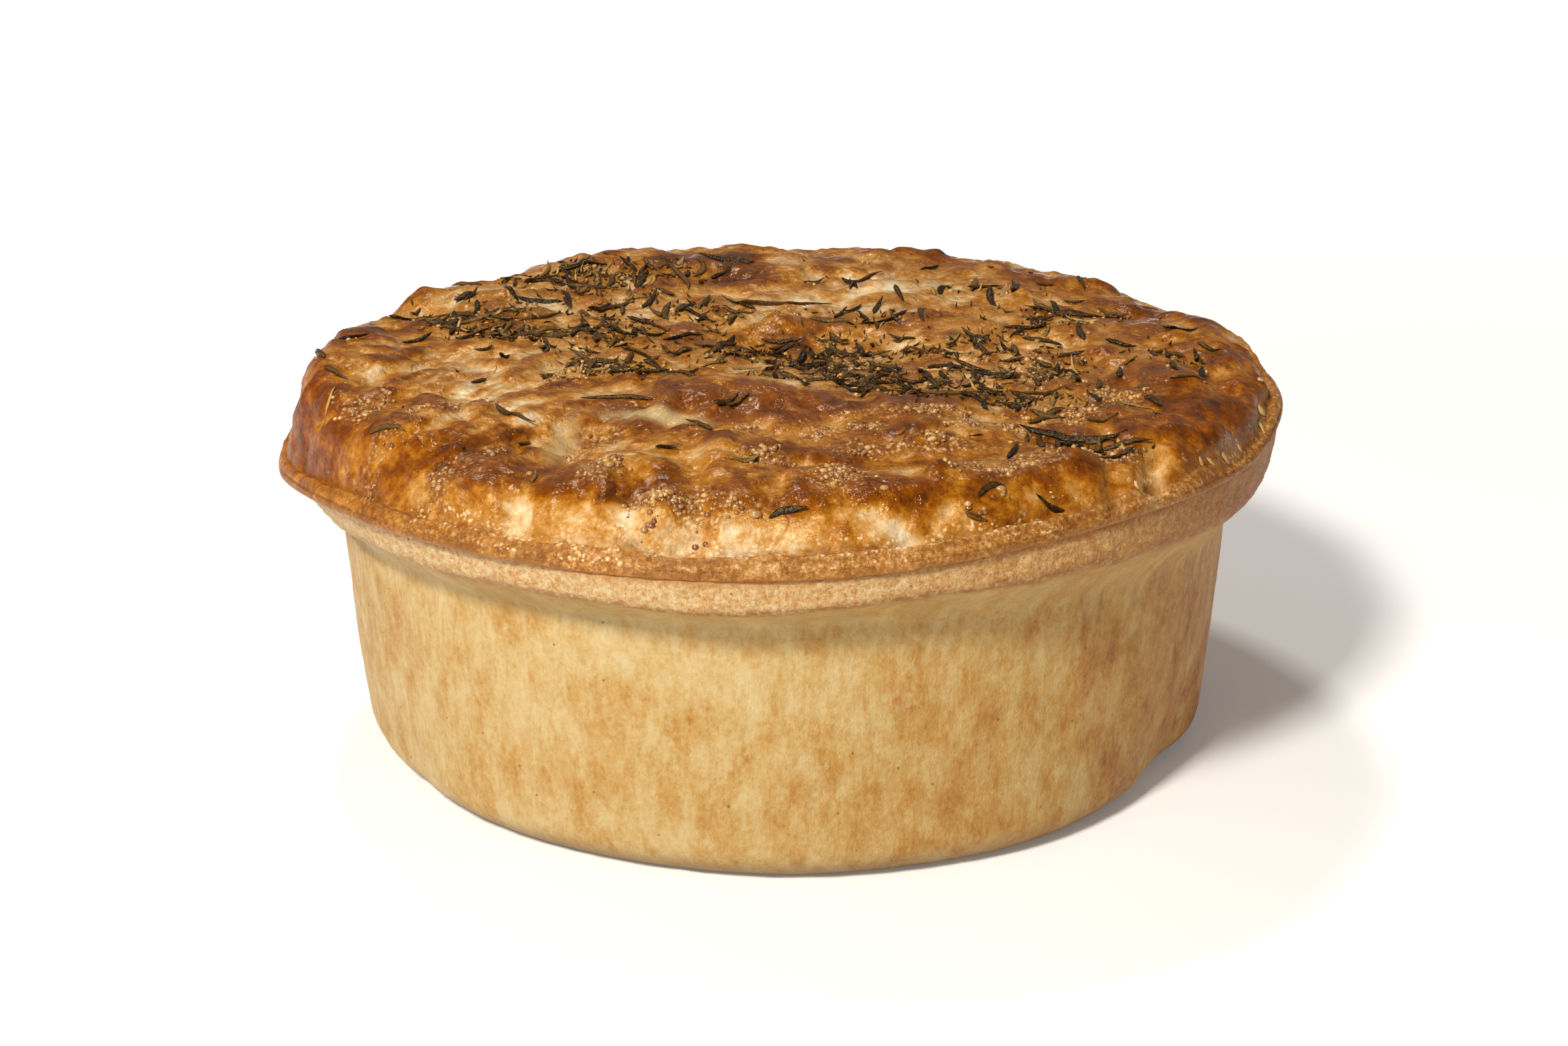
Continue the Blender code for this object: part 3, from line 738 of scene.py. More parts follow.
@dataclass(frozen=True)
class CaseFinish(Finish):
    """Unglazed pastry, pale and streaked, browner at the flange's edge."""

    light: float = 1.64
    baked: Stops = (
        (0.0, (250, 226, 172)),
        (0.3, (240, 206, 142)),
        (0.48, (230, 187, 114)),
        (0.66, (219, 164, 84)),
        (0.84, (202, 138, 60)),
        (1.0, (166, 102, 40)),
    )
    flaked: Shown = (246, 220, 162)
    wrinkled: Shown = (244, 216, 160)
    # Grey-beige painted shade for the band under the flange.
    painted_flange_shade_tone: Shown = (200, 166, 106)
    edge: Stops = (
        (0.36, (255, 238, 194)),
        (0.5, (238, 190, 126)),
        (0.6, (206, 142, 76)),
        (0.76, (160, 98, 38)),
    )
    hem: Shown = (172, 104, 44)
    # Grey-brown painted shade along the bottom edge, where the case curls under.
    foot: Shown = (150, 116, 66)
    # Light orange for the case's top corner in the seam, painted light so that the seam's shade comes out
    # brown.
    gap: Shown = (206, 134, 64)
    speck: Shown = (126, 76, 34)
    shade: Colour = (0.97, 0.83, 0.5)
    gloss: float = 0.24

    def crust(self, sheet: ShadeSheet, blots: Shade, streaks: Shade, grain: Shade) -> Shade:
        """Return the wall's colour, with its flakes, wrinkles and the painted shade under the flange.

        Args:
            sheet: the material's nodes.
            blots: noise of blots a few millimetres wide.
            streaks: noise of upright streaks.
            grain: noise of fine grain.

        Returns:
            The colour.
        """
        # This mask is mostly painted shade: browner on the right, away from the key lamp.
        painted_shade_and_browning = sheet.mask("painted_shade_and_browning")
        clouds = sheet.noise(sheet.place((1.0, 1.0, 0.6)), 12.0 * MM, 3.0, 0.55, 0.6)
        value = 0.44 + 0.5 * (clouds - 0.5) + 1.35 * (blots - 0.5)
        value = value + 0.5 * (streaks - 0.5) + 0.7 * (grain - 0.5) + painted_shade_and_browning
        body = sheet.ramp(value.clipped(), self.tones(self.baked))
        flakes = sheet.noise(sheet.place((1.0, 1.0, 0.6)), 3.4 * MM, 6.0, 0.75).between(0.54, 0.66)
        body = sheet.mix(flakes * 0.45, body, self.tone(self.flaked))
        body = sheet.mix(sheet.mask("wrinkle") * 0.55, body, self.tone(self.wrinkled))
        drifts = sheet.noise(sheet.place((1.0, 1.0, 0.22)), 5.0 * MM, 3.0).between(0.15, 0.6)
        # Painted shade under the flange, in drifts, weaker on the right.
        painted_flange_shade = sheet.mask("painted_flange_shade") * drifts
        return sheet.mix(painted_flange_shade * (0.6 - 1.2 * painted_shade_and_browning), body, self.tone(self.painted_flange_shade_tone))

    def material(self) -> bpy.types.Material:
        """Return the case's material.

        Returns:
            The material, which reads the masks that PastryCase writes.
        """
        sheet = ShadeSheet("baked_case")
        here = sheet.place()
        streaks = sheet.noise(sheet.place((1.0, 1.0, 0.22)), 1.7 * MM, 3.0, 0.6, 0.5)
        blots = sheet.noise(sheet.place((1.0, 1.0, 0.6)), 5.0 * MM, 6.0, 0.72, 0.3)
        grain = sheet.noise(sheet.place((1.0, 1.0, 0.7)), 0.7 * MM, 4.0, 0.75)
        body = self.crust(sheet, blots, streaks, grain)
        band = sheet.mask("band")
        # The flange's crumb turns browner on the right with the same painted shade.
        crumb = sheet.noise(here, 0.9 * MM, 5.0, 0.9) + 0.7 * sheet.mask("painted_shade_and_browning") - 0.02
        body = sheet.mix(band * 0.85, body, sheet.ramp(crumb, self.tones(self.edge)))
        hem = sheet.mask("hem") * sheet.noise(here, 1.0 * MM, 4.0, 0.8).between(0.36, 0.56)
        body = sheet.mix(hem * 0.85, body, self.tone(self.hem))
        body = sheet.mix(sheet.mask("shade"), body, self.shade, "MULTIPLY")
        # Painted shade along the bottom edge.
        body = sheet.mix(sheet.mask("floor") * 0.6, body, self.tone(self.foot))
        # Painted light in the seam's groove, against its shade.
        body = sheet.mix(sheet.mask("gap") * 0.8, body, self.tone(self.gap))
        specks = sheet.cells(here, 3.4 * MM).between(0.075, 0.035)
        body = sheet.mix(specks * 0.7, body, self.tone(self.speck))
        grit = sheet.noise(here, 0.6 * MM, 3.0, 0.6)
        return sheet.finish(
            Base_Color=body,
            Roughness=0.5 + 0.3 * (grain - 0.5),
            Normal=sheet.bump(grain + 0.6 * streaks + 0.4 * blots + 0.8 * (grit * band), 0.25 * MM),
            Specular_IOR_Level=self.gloss,
        )


@dataclass(frozen=True)
class LidFinish(Finish):
    """Egg-glazed pastry, from pale dough through amber to scorched brown."""

    light: float = 1.1
    baked: Stops = (
        (0.0, (230, 209, 174)),
        (0.2, (214, 180, 130)),
        (0.38, (192, 137, 68)),
        (0.55, (164, 102, 20)),
        (0.72, (128, 66, 4)),
        (0.88, (100, 48, 3)),
        (1.0, (70, 35, 5)),
    )
    # Mauve-brown painted sheen: the pale reflection on the top away from the front.
    painted_sheen: Shown = (140, 94, 60)
    dough: Shown = (196, 170, 118)
    stain: Shown = (122, 92, 46)
    crust: Stops = (
        (0.36, (222, 174, 110)),
        (0.48, (170, 114, 54)),
        (0.6, (122, 72, 26)),
    )
    # Brown painted shade for the lip's grooves.
    groove: Shown = (126, 76, 28)
    # Orange for the lip's foot in the seam, painted light so that the seam's shade comes out brown.
    seam: Shown = (182, 112, 50)
    # The froth's colours: pale bubble middles, partly painted highlight, and darker rims.
    foam: Shown = (244, 210, 152)
    foam_rim: Shown = (140, 84, 22)
    # Near-white painted glints on the lip's ridges.
    painted_glint: Shown = (250, 222, 176)
    # A yellowing for the left and right edges of the top, painted to cancel the pale reflection that falls
    # there.
    flank: Colour = (0.97, 0.8, 0.15)
    glaze: Colour = (1.0, 0.86, 0.6)
    gloss: float = 0.27

    def baking(self, sheet: ShadeSheet, mottle: Shade) -> Shade:
        """Return the colour of the baked top, with its painted sheen and its bare and stained places.

        Args:
            sheet: the material's nodes.
            mottle: noise of lumps some millimetres wide.

        Returns:
            The colour.
        """
        here = sheet.place()
        flecks = sheet.noise(here, 1.3 * MM, 4.0, 0.75, 0.2)
        bake = sheet.mask("bake") + 0.85 * (mottle - 0.5) + 0.8 * (flecks - 0.5)
        body = sheet.ramp(bake.clipped(), self.tones(self.baked))
        # Painted sheen, in clouds, on the top away from the front and the lip.
        painted_sheen = sheet.mask("painted_sheen") * sheet.noise(here, 9.0 * MM, 3.0, 0.5, 0.8).between(0.42, 0.62)
        body = sheet.mix(painted_sheen * 0.2, body, self.tone(self.painted_sheen))
        dough = sheet.mask("dough") * sheet.noise(here, 3.0 * MM, 3.0, 0.6).between(0.2, 0.5)
        body = sheet.mix(dough * 0.8, body, self.tone(self.dough))
        stain = sheet.mask("stain") * sheet.noise(here, 2.0 * MM, 4.0, 0.7).between(0.3, 0.7)
        return sheet.mix(stain * 0.6, body, self.tone(self.stain))

    def material(self) -> bpy.types.Material:
        """Return the lid's material.

        Returns:
            The material, which reads the masks that PastryLid writes.
        """
        sheet = ShadeSheet("glazed_lid")
        here = sheet.place()
        mottle = sheet.noise(here, 6.0 * MM, 4.0, 0.5, 0.8)
        body = self.baking(sheet, mottle)
        lip = sheet.mask("lip")
        grit = sheet.noise(here, 0.8 * MM, 4.0, 0.85)
        body = sheet.mix(lip * 0.7, body, sheet.ramp(grit, self.tones(self.crust)))
        # Painted shade in the lip's grooves.
        body = sheet.mix(sheet.mask("groove") * 0.6, body, self.tone(self.groove))
        # Painted light at the lip's foot, against the seam's shade.
        body = sheet.mix(sheet.mask("seam") * 0.6, body, self.tone(self.seam))
        # Painted against reflection: the top's edges are yellowed where the pale reflection falls.
        body = sheet.mix(sheet.mask("flank"), body, self.flank, "MULTIPLY")
        cells = sheet.cells(here, 0.62 * MM, "SMOOTH_F1")
        froth = sheet.mask("foam") * sheet.noise(here, 3.0 * MM, 5.0, 0.75).between(0.45, 0.56)
        # Froth: pale in each bubble's middle, partly the froth's own colour and partly painted highlight,
        # darker between.
        foam_and_glints = sheet.mix(cells.between(0.1, 0.5), self.tone(self.foam), self.tone(self.foam_rim))
        body = sheet.mix(froth * 0.7, body, foam_and_glints)
        # Painted glints: pale spots along the crests of the lip's ridges.
        painted_glints = sheet.mask("crest") * cells.between(0.42, 0.2)
        body = sheet.mix(painted_glints * 0.8, body, self.tone(self.painted_glint))
        wet = sheet.mask("wet")
        roughness = 0.46 - 0.36 * wet + 0.4 * (mottle - 0.5) - 0.1 * froth
        pores = sheet.cells(here, 1.6 * MM).between(0.3, 0.05)
        skin = sheet.noise(here, 2.2 * MM, 5.0, 0.54)
        beady = (froth + 0.8 * lip).clipped()
        blebs = sheet.cells(here, 1.1 * MM, "SMOOTH_F1")
        beaded = wet * sheet.noise(here, 5.0 * MM, 4.0, 0.65).between(0.5, 0.58)
        relief = 0.45 * skin + 0.08 * pores - 0.24 * (cells * beady)
        relief = relief + 0.12 * (grit * lip) - 0.3 * (blebs * beaded)
        return sheet.finish(
            Base_Color=body,
            Roughness=sheet.maths("MAXIMUM", roughness, 0.1),
            Normal=sheet.bump(relief, 1.0 * MM),
            Specular_IOR_Level=self.gloss,
            Specular_Tint=self.glaze,
        )


@dataclass(frozen=True)
class HerbFinish(Finish):
    """Dried leaf under glaze, from its dark back to its lighter margin."""

    name: str
    dark: Shown
    fair: Shown
    light: float = 1.0
    roughness: float = 0.17
    gloss: float = 0.3
    glaze: Colour = (1.0, 0.84, 0.56)

    def material(self) -> bpy.types.Material:
        """Return the leaf's material.

        Returns:
            The material, which reads the mask that Heap writes.
        """
        sheet = ShadeSheet(self.name)
        veins = sheet.noise(sheet.place(), 0.5 * MM, 3.0, 0.6)
        share = (sheet.mask("tone") + 1.5 * (veins - 0.5)).clipped()
        return sheet.finish(
            Base_Color=sheet.mix(share, self.tone(self.dark), self.tone(self.fair)),
            Roughness=self.roughness,
            Normal=sheet.bump(veins, 0.25 * MM),
            Specular_IOR_Level=self.gloss,
            Specular_Tint=self.glaze,
        )


@dataclass(frozen=True)
class BubbleFinish(Finish):
    """Set egg glaze, clear amber and shiny."""

    light: float = 1.1
    dark: Shown = (122, 66, 10)
    fair: Shown = (214, 166, 98)
    gloss: float = 1.0

    def material(self) -> bpy.types.Material:
        """Return the bubbles' material.

        Returns:
            The material, which reads the mask that Heap writes.
        """
        sheet = ShadeSheet("set_glaze")
        body = sheet.mix(sheet.mask("tone"), self.tone(self.dark), self.tone(self.fair))
        skin = sheet.noise(sheet.place(), 0.4 * MM, 2.0)
        return sheet.finish(Base_Color=body, Roughness=0.06 + 0.2 * skin, Specular_IOR_Level=self.gloss)


@dataclass
class PastryCase:
    """The pastry case: a tapered drum with a flared flange, streaked and lightly wrinkled."""

    seam: Seam = Seam()
    base_radius: float = 66.4 * MM
    base_rounding: float = 6.0 * MM
    base_wobble: float = 0.4 * MM
    foot_height: float = 20.0 * MM
    wall_top_radius: float = 68.9 * MM
    crease_height: float = 37.6 * MM
    crease_sway: float = 2.1 * MM
    flange_edge: float = 5.4 * MM
    flange_corner: float = 0.55 * MM
    flange_under: float = 1.7 * MM
    flange_flare: float = 1.35
    flange_lean_left: float = 3.4 * MM
    flange_lean_right: float = 1.0 * MM
    flange_close: float = 0.75 * MM
    flange_crown: float = 0.4 * MM
    columns: int = 720
    row: float = 0.55 * MM
    merge: float = 0.02 * MM
    wrinkle_count: int = 46
    # Ranges of the wrinkles' sizes, in millimetres.
    wrinkle_foot: tuple[float, float] = (30.0, 36.0)
    wrinkle_head: tuple[float, float] = (40.0, 46.0)
    wrinkle_width: tuple[float, float] = (0.25, 0.5)
    wrinkle_rise: tuple[float, float] = (0.05, 0.16)
    wrinkle_fade: float = 3.0 * MM
    seed: int = 11

    def section(self) -> list[tuple[float, float]]:
        """Return the case's outline, from the axis at the top to the base's middle.

        Returns:
            Pairs of radius and height in metres.
        """
        rim = self.seam.flange_radius
        top = self.seam.height
        foot = top - self.flange_edge
        corner = self.flange_corner
        under = self.flange_under
        outline = [(radius * MM, top) for radius in (0, 20, 40, 60, 69, 72, 74, 75)]
        corner_rows = 4
        for step in range(corner_rows + 1):
            turn = 0.5 * math.pi * step / corner_rows
            outline.append((rim - corner + corner * math.sin(turn), top - corner + corner * math.cos(turn)))
        edge_rows = 9
        for step in range(1, edge_rows + 1):
            outline.append((rim, top - corner - (self.flange_edge - corner - under) * step / edge_rows))
        under_rows = 5
        for step in range(1, under_rows + 1):
            turn = 0.3 * math.pi * step / under_rows
            outline.append((rim - under * (1.0 - math.cos(turn)), foot + under - under * math.sin(turn)))
        start_radius, start_height = outline[-1]
        flare_rows = 16
        for step in range(1, flare_rows + 1):
            fall = step / flare_rows
            flare = (1.0 - fall) ** self.flange_flare
            radius = self.wall_top_radius + (start_radius - self.wall_top_radius) * flare
            outline.append((radius, start_height + (self.crease_height - start_height) * fall))
        wall_rows = round((self.crease_height - self.base_rounding) / self.row)
        for step in range(1, wall_rows + 1):
            height = self.crease_height + (self.base_rounding - self.crease_height) * step / wall_rows
            outline.append((self.wall_radius(height), height))
        foot_radius = outline[-1][0]
        rounding_rows = 12
        for step in range(1, rounding_rows + 1):
            turn = 0.5 * math.pi * step / rounding_rows
            radius = foot_radius - self.base_rounding * (1.0 - math.cos(turn))
            outline.append((radius, self.base_rounding * (1.0 - math.sin(turn))))
        outline.extend((radius * MM, 0.0) for radius in (56, 45, 30, 15, 0))
        return outline

    def wall_radius(self, height: float) -> float:
        """Return the wall's radius at a height below the crease."""
        return self.base_radius + (self.wall_top_radius - self.base_radius) * height / self.crease_height

    def turned(self) -> bpy.types.Object:
        """Turn the outline round the Z axis.

        Returns:
            The plain round case.
        """
        outline = self.section()
        mesh = bpy.data.meshes.new("case_outline")
        mesh.from_pydata([(r, 0.0, z) for r, z in outline], [(i, i + 1) for i in range(len(outline) - 1)], [])
        case = linked("dressed_case", mesh)
        screw = case.modifiers.new("Turn", "SCREW")
        screw.steps = self.columns
        screw.render_steps = self.columns
        screw.use_merge_vertices = True
        screw.merge_threshold = self.merge
        turned = bpy.data.meshes.new_from_object(case.evaluated_get(bpy.context.evaluated_depsgraph_get()))
        case.modifiers.remove(screw)
        case.data = turned
        bpy.data.meshes.remove(mesh)
        return case

    def wrinkles(self, bearing: Array, z: Array) -> Array:
        """Return the relief of thin slanting wrinkles under the flange, many of them at the front right.

        Args:
            bearing: the directions of places from the axis in radians.
            z: their heights in metres.

        Returns:
            The rise at each place, in metres.
        """
        draw = random.Random(self.seed)
        height = np.zeros_like(z)
        for _ in range(self.wrinkle_count):
            middle = draw.gauss(-0.75, 0.42) if draw.random() < 0.45 else draw.uniform(-math.pi, math.pi)
            foot = draw.uniform(*self.wrinkle_foot) * MM
            head = draw.uniform(*self.wrinkle_head) * MM
            lean = draw.uniform(0.0, 0.5)
            width = draw.uniform(*self.wrinkle_width) * MM
            rise = draw.uniform(*self.wrinkle_rise) * MM
            off = self.wall_top_radius * turn_from(middle, bearing)
            off = off - lean * (z - foot)
            shown = window(z, (foot, foot + self.wrinkle_fade), (head - self.wrinkle_fade, head))
            height += rise * shown * hump(off, width)
        return height

    def shaped(self, points: Array) -> Array:
        """Return the round case's points with the seam, the crease and the base's bulges given to them.

        Args:
            points: rows of x, y and z in metres.

        Returns:
            The moved rows.
        """
        x, y, z = points.T
        bearing = np.arctan2(y, x)
        radius = np.hypot(x, y)
        crease = self.crease_height
        low = crease - self.crease_sway * np.cos(2.0 * bearing)
        rise = (z - crease) / (self.seam.height - crease)
        above = low + (self.seam.at(radius, bearing) - low) * rise
        wobble = self.base_wobble * np.sin(3.0 * bearing + 0.6) * np.sin(7.0 * bearing)
        low_down = smoothstep(1.0 - z / crease) * smoothstep(radius / self.base_radius)
        at_foot = smoothstep(1.0 - z / self.foot_height) * smoothstep(radius / self.base_radius)
        bulge = total_stretch(BASE_BULGES, bearing) * at_foot
        lean = self.flange_lean_left * bell(bearing, LEFT, 0.8)
        lean = lean + self.flange_lean_right * bell(bearing, RIGHT, 0.8)
        drawn_in = np.clip(rise, 0.0, 1.0) * np.clip(1.0 - rise, 0.0, 1.0) * 4.0
        above = above - total_stretch(DROOPS, bearing) * drawn_in
        spread = (wobble * low_down + bulge) / self.base_radius
        scale = 1.0 + spread - lean * drawn_in / self.seam.flange_radius
        above = above + self.flange_close * between(radius, 60.0 * MM, 68.0 * MM) * between(rise, 0.9, 1.0)
        return np.column_stack((x * scale, y * scale, np.where(z > crease, above, z * low / crease)))

    def outside(self, points: Array) -> Array:
        """Return 1 on the wall and the flange and 0 on the case's top and base.

        Args:
            points: the round case's rows of x, y and z in metres.

        Returns:
            One number for each point.
        """
        x, y, z = points.T
        beside = between(np.hypot(x, y), 60.0 * MM, 64.0 * MM)
        return beside * between(z, 0.0, 1.5 * MM) * (z < self.seam.height - 0.1 * MM)

    def band(self, points: Array) -> Array:
        """Return 1 on the flange's upright edge and 0 elsewhere."""
        low = self.seam.height - self.flange_edge
        return between(points[:, 2], low + 0.1 * MM, low + 1.5 * MM) * self.outside(points)

    def relief(self, points: Array, shaped: Array, wrinkles: Array) -> Array:
        """Return the finer relief along the surface's normal.

        Args:
            points: the round case's rows of x, y and z in metres.
            shaped: the same points as the case stands.
            wrinkles: the wrinkles' rise at each point, in metres.

        Returns:
            The lift at each point, in metres.
        """
        grain = GrainField(self.seed)
        streaks = grain.layered(shaped, (1.1 * MM, 1.1 * MM, 9.0 * MM), 2)
        dents = grain.layered(shaped, (7.0 * MM, 7.0 * MM, 11.0 * MM), 3)
        crumb = grain.layered(shaped, 2.0 * MM, 3)
        band = self.band(points)
        lift = 0.04 * streaks + 0.13 * dents + (0.02 + 0.2 * band) * crumb - 0.24
        lift = self.outside(points) * lift * MM
        low = self.seam.height - self.flange_edge
        share = np.clip((points[:, 2] - low) / (self.seam.height - low), 0.0, 1.0)
        lift -= self.flange_crown * band * (1.0 - np.sin(math.pi * np.minimum(share, 0.5)))
        return lift + wrinkles

    def masks(self, points: Array, shaped: Array, wrinkles: Array) -> dict[str, Array]:
        """Return where the case is browner, paler and rougher.

        Args:
            points: the round case's rows of x, y and z in metres.
            shaped: the same points as the case stands.
            wrinkles: the wrinkles' rise at each point, in metres.

        Returns:
            One number for each point, by the mask's name.
        """
        x, y, z = points.T
        bearing = np.arctan2(y, x)
        radius = np.hypot(x, y)
        outside = self.outside(points)
        band = self.band(points)
        crease = self.crease_height
        top = self.seam.height
        low = top - self.flange_edge
        ragged = 0.8 * MM * GrainField(self.seed).layered(shaped, 4.0 * MM, 4)
        hem = hump(z - low - 0.8 * MM + ragged, 1.0 * MM) * outside
        hem *= 1.0 - 0.6 * bell(bearing, math.radians(-160.0), 0.8)
        right = bell(bearing, math.radians(-2.0), 0.95)
        left = bell(bearing, LEFT, 0.4)
        tan = hump(z - crease + 3.6 * MM, 2.4 * MM)
        pale = bell(bearing, FRONT, 0.7) * hump(z - crease + 6.0 * MM, 4.0 * MM)
        return {
            "hem": np.clip(hem, 0.0, 1.0),
            "band": band,
            # Painted light: the case's top corner inside the seam's groove.
            "gap": between(z, top - 0.9 * MM, top - 0.2 * MM) * (radius > 60.0 * MM),
            "wrinkle": np.clip(wrinkles / (0.1 * MM), 0.0, 1.0),
            # Painted shade: the band just under the flange, where its shadow falls.
            "painted_flange_shade": between(z, crease - 1.5 * MM, crease + 1.5 * MM) * (1.0 - band) * outside,
            "shade": right * outside,
            # Painted shade: the bottom edge, where the case curls under onto the floor.
            "floor": (1.0 - between(z, 0.6 * MM, 4.5 * MM)) * (radius > 55.0 * MM),
            # Painted shade: browner on the right, away from the key lamp; a little browner on the left and
            # just under the crease; lighter at the front under the crease, painted light against the flange's
            # shadow.
            "painted_shade_and_browning": (0.34 * right + 0.08 * left + 0.05 * tan - 0.1 * pale) * outside,
        }

    def build(self) -> bpy.types.Object:
        """Build the dressed case.

        Returns:
            The piece, which stands for the part's pastry_case.
        """
        case = self.turned()
        points = read_points(case.data)
        shaped = self.shaped(points)
        write_points(case.data, shaped)
        wrinkles = self.wrinkles(np.arctan2(points[:, 1], points[:, 0]), points[:, 2]) * self.outside(points)
        lift = self.relief(points, shaped, wrinkles)
        write_points(case.data, shaped + read_normals(case.data) * lift[:, None])
        for name, values in self.masks(points, shaped, wrinkles).items():
            write_mask(case.data, name, values)
        case.data.materials.append(CaseFinish().material())
        case.data.shade_smooth()
        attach(case, "root")
        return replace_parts(case, "pastry_case")


# Where the lid is browner, or paler where the strength is below 0.
TOASTED = as_patches(
    (-67, -22, 28, 6, 80, 0.05), (-62, 14, 14, 6, 105, 0.04), (-50, -42, 15, 6, 42, 0.08),
    (-38, -58, 12, 6, 30, 0.2), (-6, -33, 15, 5, -4, 0.6), (18, -37, 16, 4, -4, 0.22),
    (12, -66, 12, 4, 0, 0.16), (-18, -65, 8, 4.5, 10, 0.18), (-4, -58, 8, 6, 0, 0.2),
    (18, -50, 15, 4, 0, 0.2), (34, -56, 8, 5, 20, 0.14), (-12, -46, 10, 5, 0, 0.16),
    (-15, 50, 14, 5, 5, 0.4), (-7, 42, 4, 7, 0, 0.3), (0, 60, 44, 5, 0, 0.1),
    (50, 36, 16, 8, -45, 0.14), (55, -24, 15, 7, -62, 0.34), (66, 2, 24, 6, 92, 0.16),
    (56, -42, 6, 7, -40, 0.16), (-1, 11, 5, 4, 0, 0.16), (-46, -16, 20, 13, 60, -0.12),
    (-44, -42, 8, 8, 40, -0.06), (-46, 28, 14, 9, 50, -0.2), (-24, 26, 14, 8, 20, -0.16),
    (-20, 58, 18, 5, 0, -0.1), (12, 34, 26, 13, 0, -0.22), (5, -8, 16, 14, 0, -0.16),
    (40, -10, 12, 8, -10, -0.14), (48, 5, 11, 8, 0, -0.1), (15, -15, 8, 6, 0, -0.12),
    (40, -62, 5, 3, -30, -0.14), (30, -34, 10, 3, 10, -0.14),
)

# Where the dough shows bare.
BARE_DOUGH = as_patches(
    (-18, -37, 8, 1.8, -20, 1.0), (-31, -43, 2.2, 8, -8, 0.75), (-25, -60, 4, 2.5, -30, 0.4),
    (6, -7, 3, 4, 0, 0.5),
)

# Where the glaze has set in foam, and beads of it lie.
FOAM = as_patches(
    (-47, -36, 7, 3, 30, 0.6), (-37, -50, 4, 3, 0, 0.4), (-46, -56, 5, 3, 30, 1.0),
    (-57, -46, 4, 2.5, 45, 0.5), (-25, -40, 3, 2.5, 0, 1.0), (-27, -47, 3, 4, 0, 0.7),
    (-24, -61, 3, 2.5, 20, 0.9), (-15, -67, 4, 2, 0, 1.0), (6, -65, 5, 2, 0, 0.9),
    (11, -43, 3, 2, 0, 1.0), (27, -61, 4, 2.5, 10, 0.9), (-9, -70, 6, 1.8, 0, 0.8),
    (-3, -55, 3, 3, 0, 0.8), (-5, -43, 4, 2, -30, 0.8), (5, -45, 3, 3, 0, 0.9),
    (10, -50, 7, 1.6, 0, 1.0), (22, -49, 6, 1.6, 0, 1.0), (28, -42, 6, 2.5, 10, 0.9),
    (20, -38, 8, 2, 0, 0.8), (41, -36, 5, 4, -30, 0.8), (33, -56, 3, 4, 60, 0.9),
    (43, -52, 6, 2.5, 10, 0.8), (8, -62, 3, 4, 60, 0.8), (-14, -66, 4, 2.5, 0, 0.7),
    (48, -27, 5, 4, 0, 0.7), (-30, -14, 5, 3, 0, 0.5), (-22, -16, 5, 2, 0, 0.6),
    (36, -8, 9, 6, 0, 0.4), (6, -20, 7, 5, 0, 0.4), (-60, -31, 4, 3, 0, 0.7), (0, 20, 6, 2, 0, 0.6),
    (16, 52, 5, 2, 0, 0.4),
)

# Where the herbs lie thickest, the last being a thin strewing over the whole lid. The part has the same.
HERB_BEDS = as_patches(
    (6, 0, 9, 8, 0, 13), (8, -14, 9, 10, 0, 14), (-35, 42, 10, 6, 20, 9), (-22, 42, 8, 5, 0, 5),
    (-48, 15, 7, 5, 0, 7), (-45, 6, 9, 5, 0, 8), (-28, 6, 8, 10, 30, 10), (-33, 27, 14, 8, 0, 5),
    (-14, 18, 6, 6, 0, 4), (-25, -14, 8, 4, -10, 7), (-10, 2, 6, 8, 0, 4), (15, 14, 8, 7, 0, 4),
    (30, 3, 12, 5, 0, 9), (43, 15, 8, 5, 0, 6), (37, -13, 11, 8, 0, 10), (20, -22, 10, 8, 0, 8),
    (33, -30, 12, 5, 0, 6), (40, -47, 8, 4, 0, 4), (58, -8, 5, 8, 0, 2), (-55, 20, 8, 8, 0, 2),
    (34, 34, 12, 8, 0, 2), (0, 0, 60, 56, 0, 9),
)

# Where the skin on the left is drawn out in ribs, and where fibres of darker glaze show in it.
DRAWN_RIBS = as_patches((-56, -22, 26, 16, 70, 1.0), (-45, -45, 16, 10, 40, 0.8))
DRAWN_FIBRES = as_patches((-50, -24, 26, 20, 70, 1.0), (-40, -48, 18, 12, 40, 0.8))


@dataclass(frozen=True)
class Ridge:
    """A ridge round the lip, or a groove where the rise is below 0, in millimetres."""

    inset: float
    width: float
    rise: float


LIP_RIDGES = (
    Ridge(0.5, 0.25, 0.12),
    Ridge(1.05, 0.3, -0.2),
    Ridge(1.6, 0.35, 0.24),
    Ridge(2.3, 0.35, -0.3),
    Ridge(3.1, 0.4, 0.26),
)


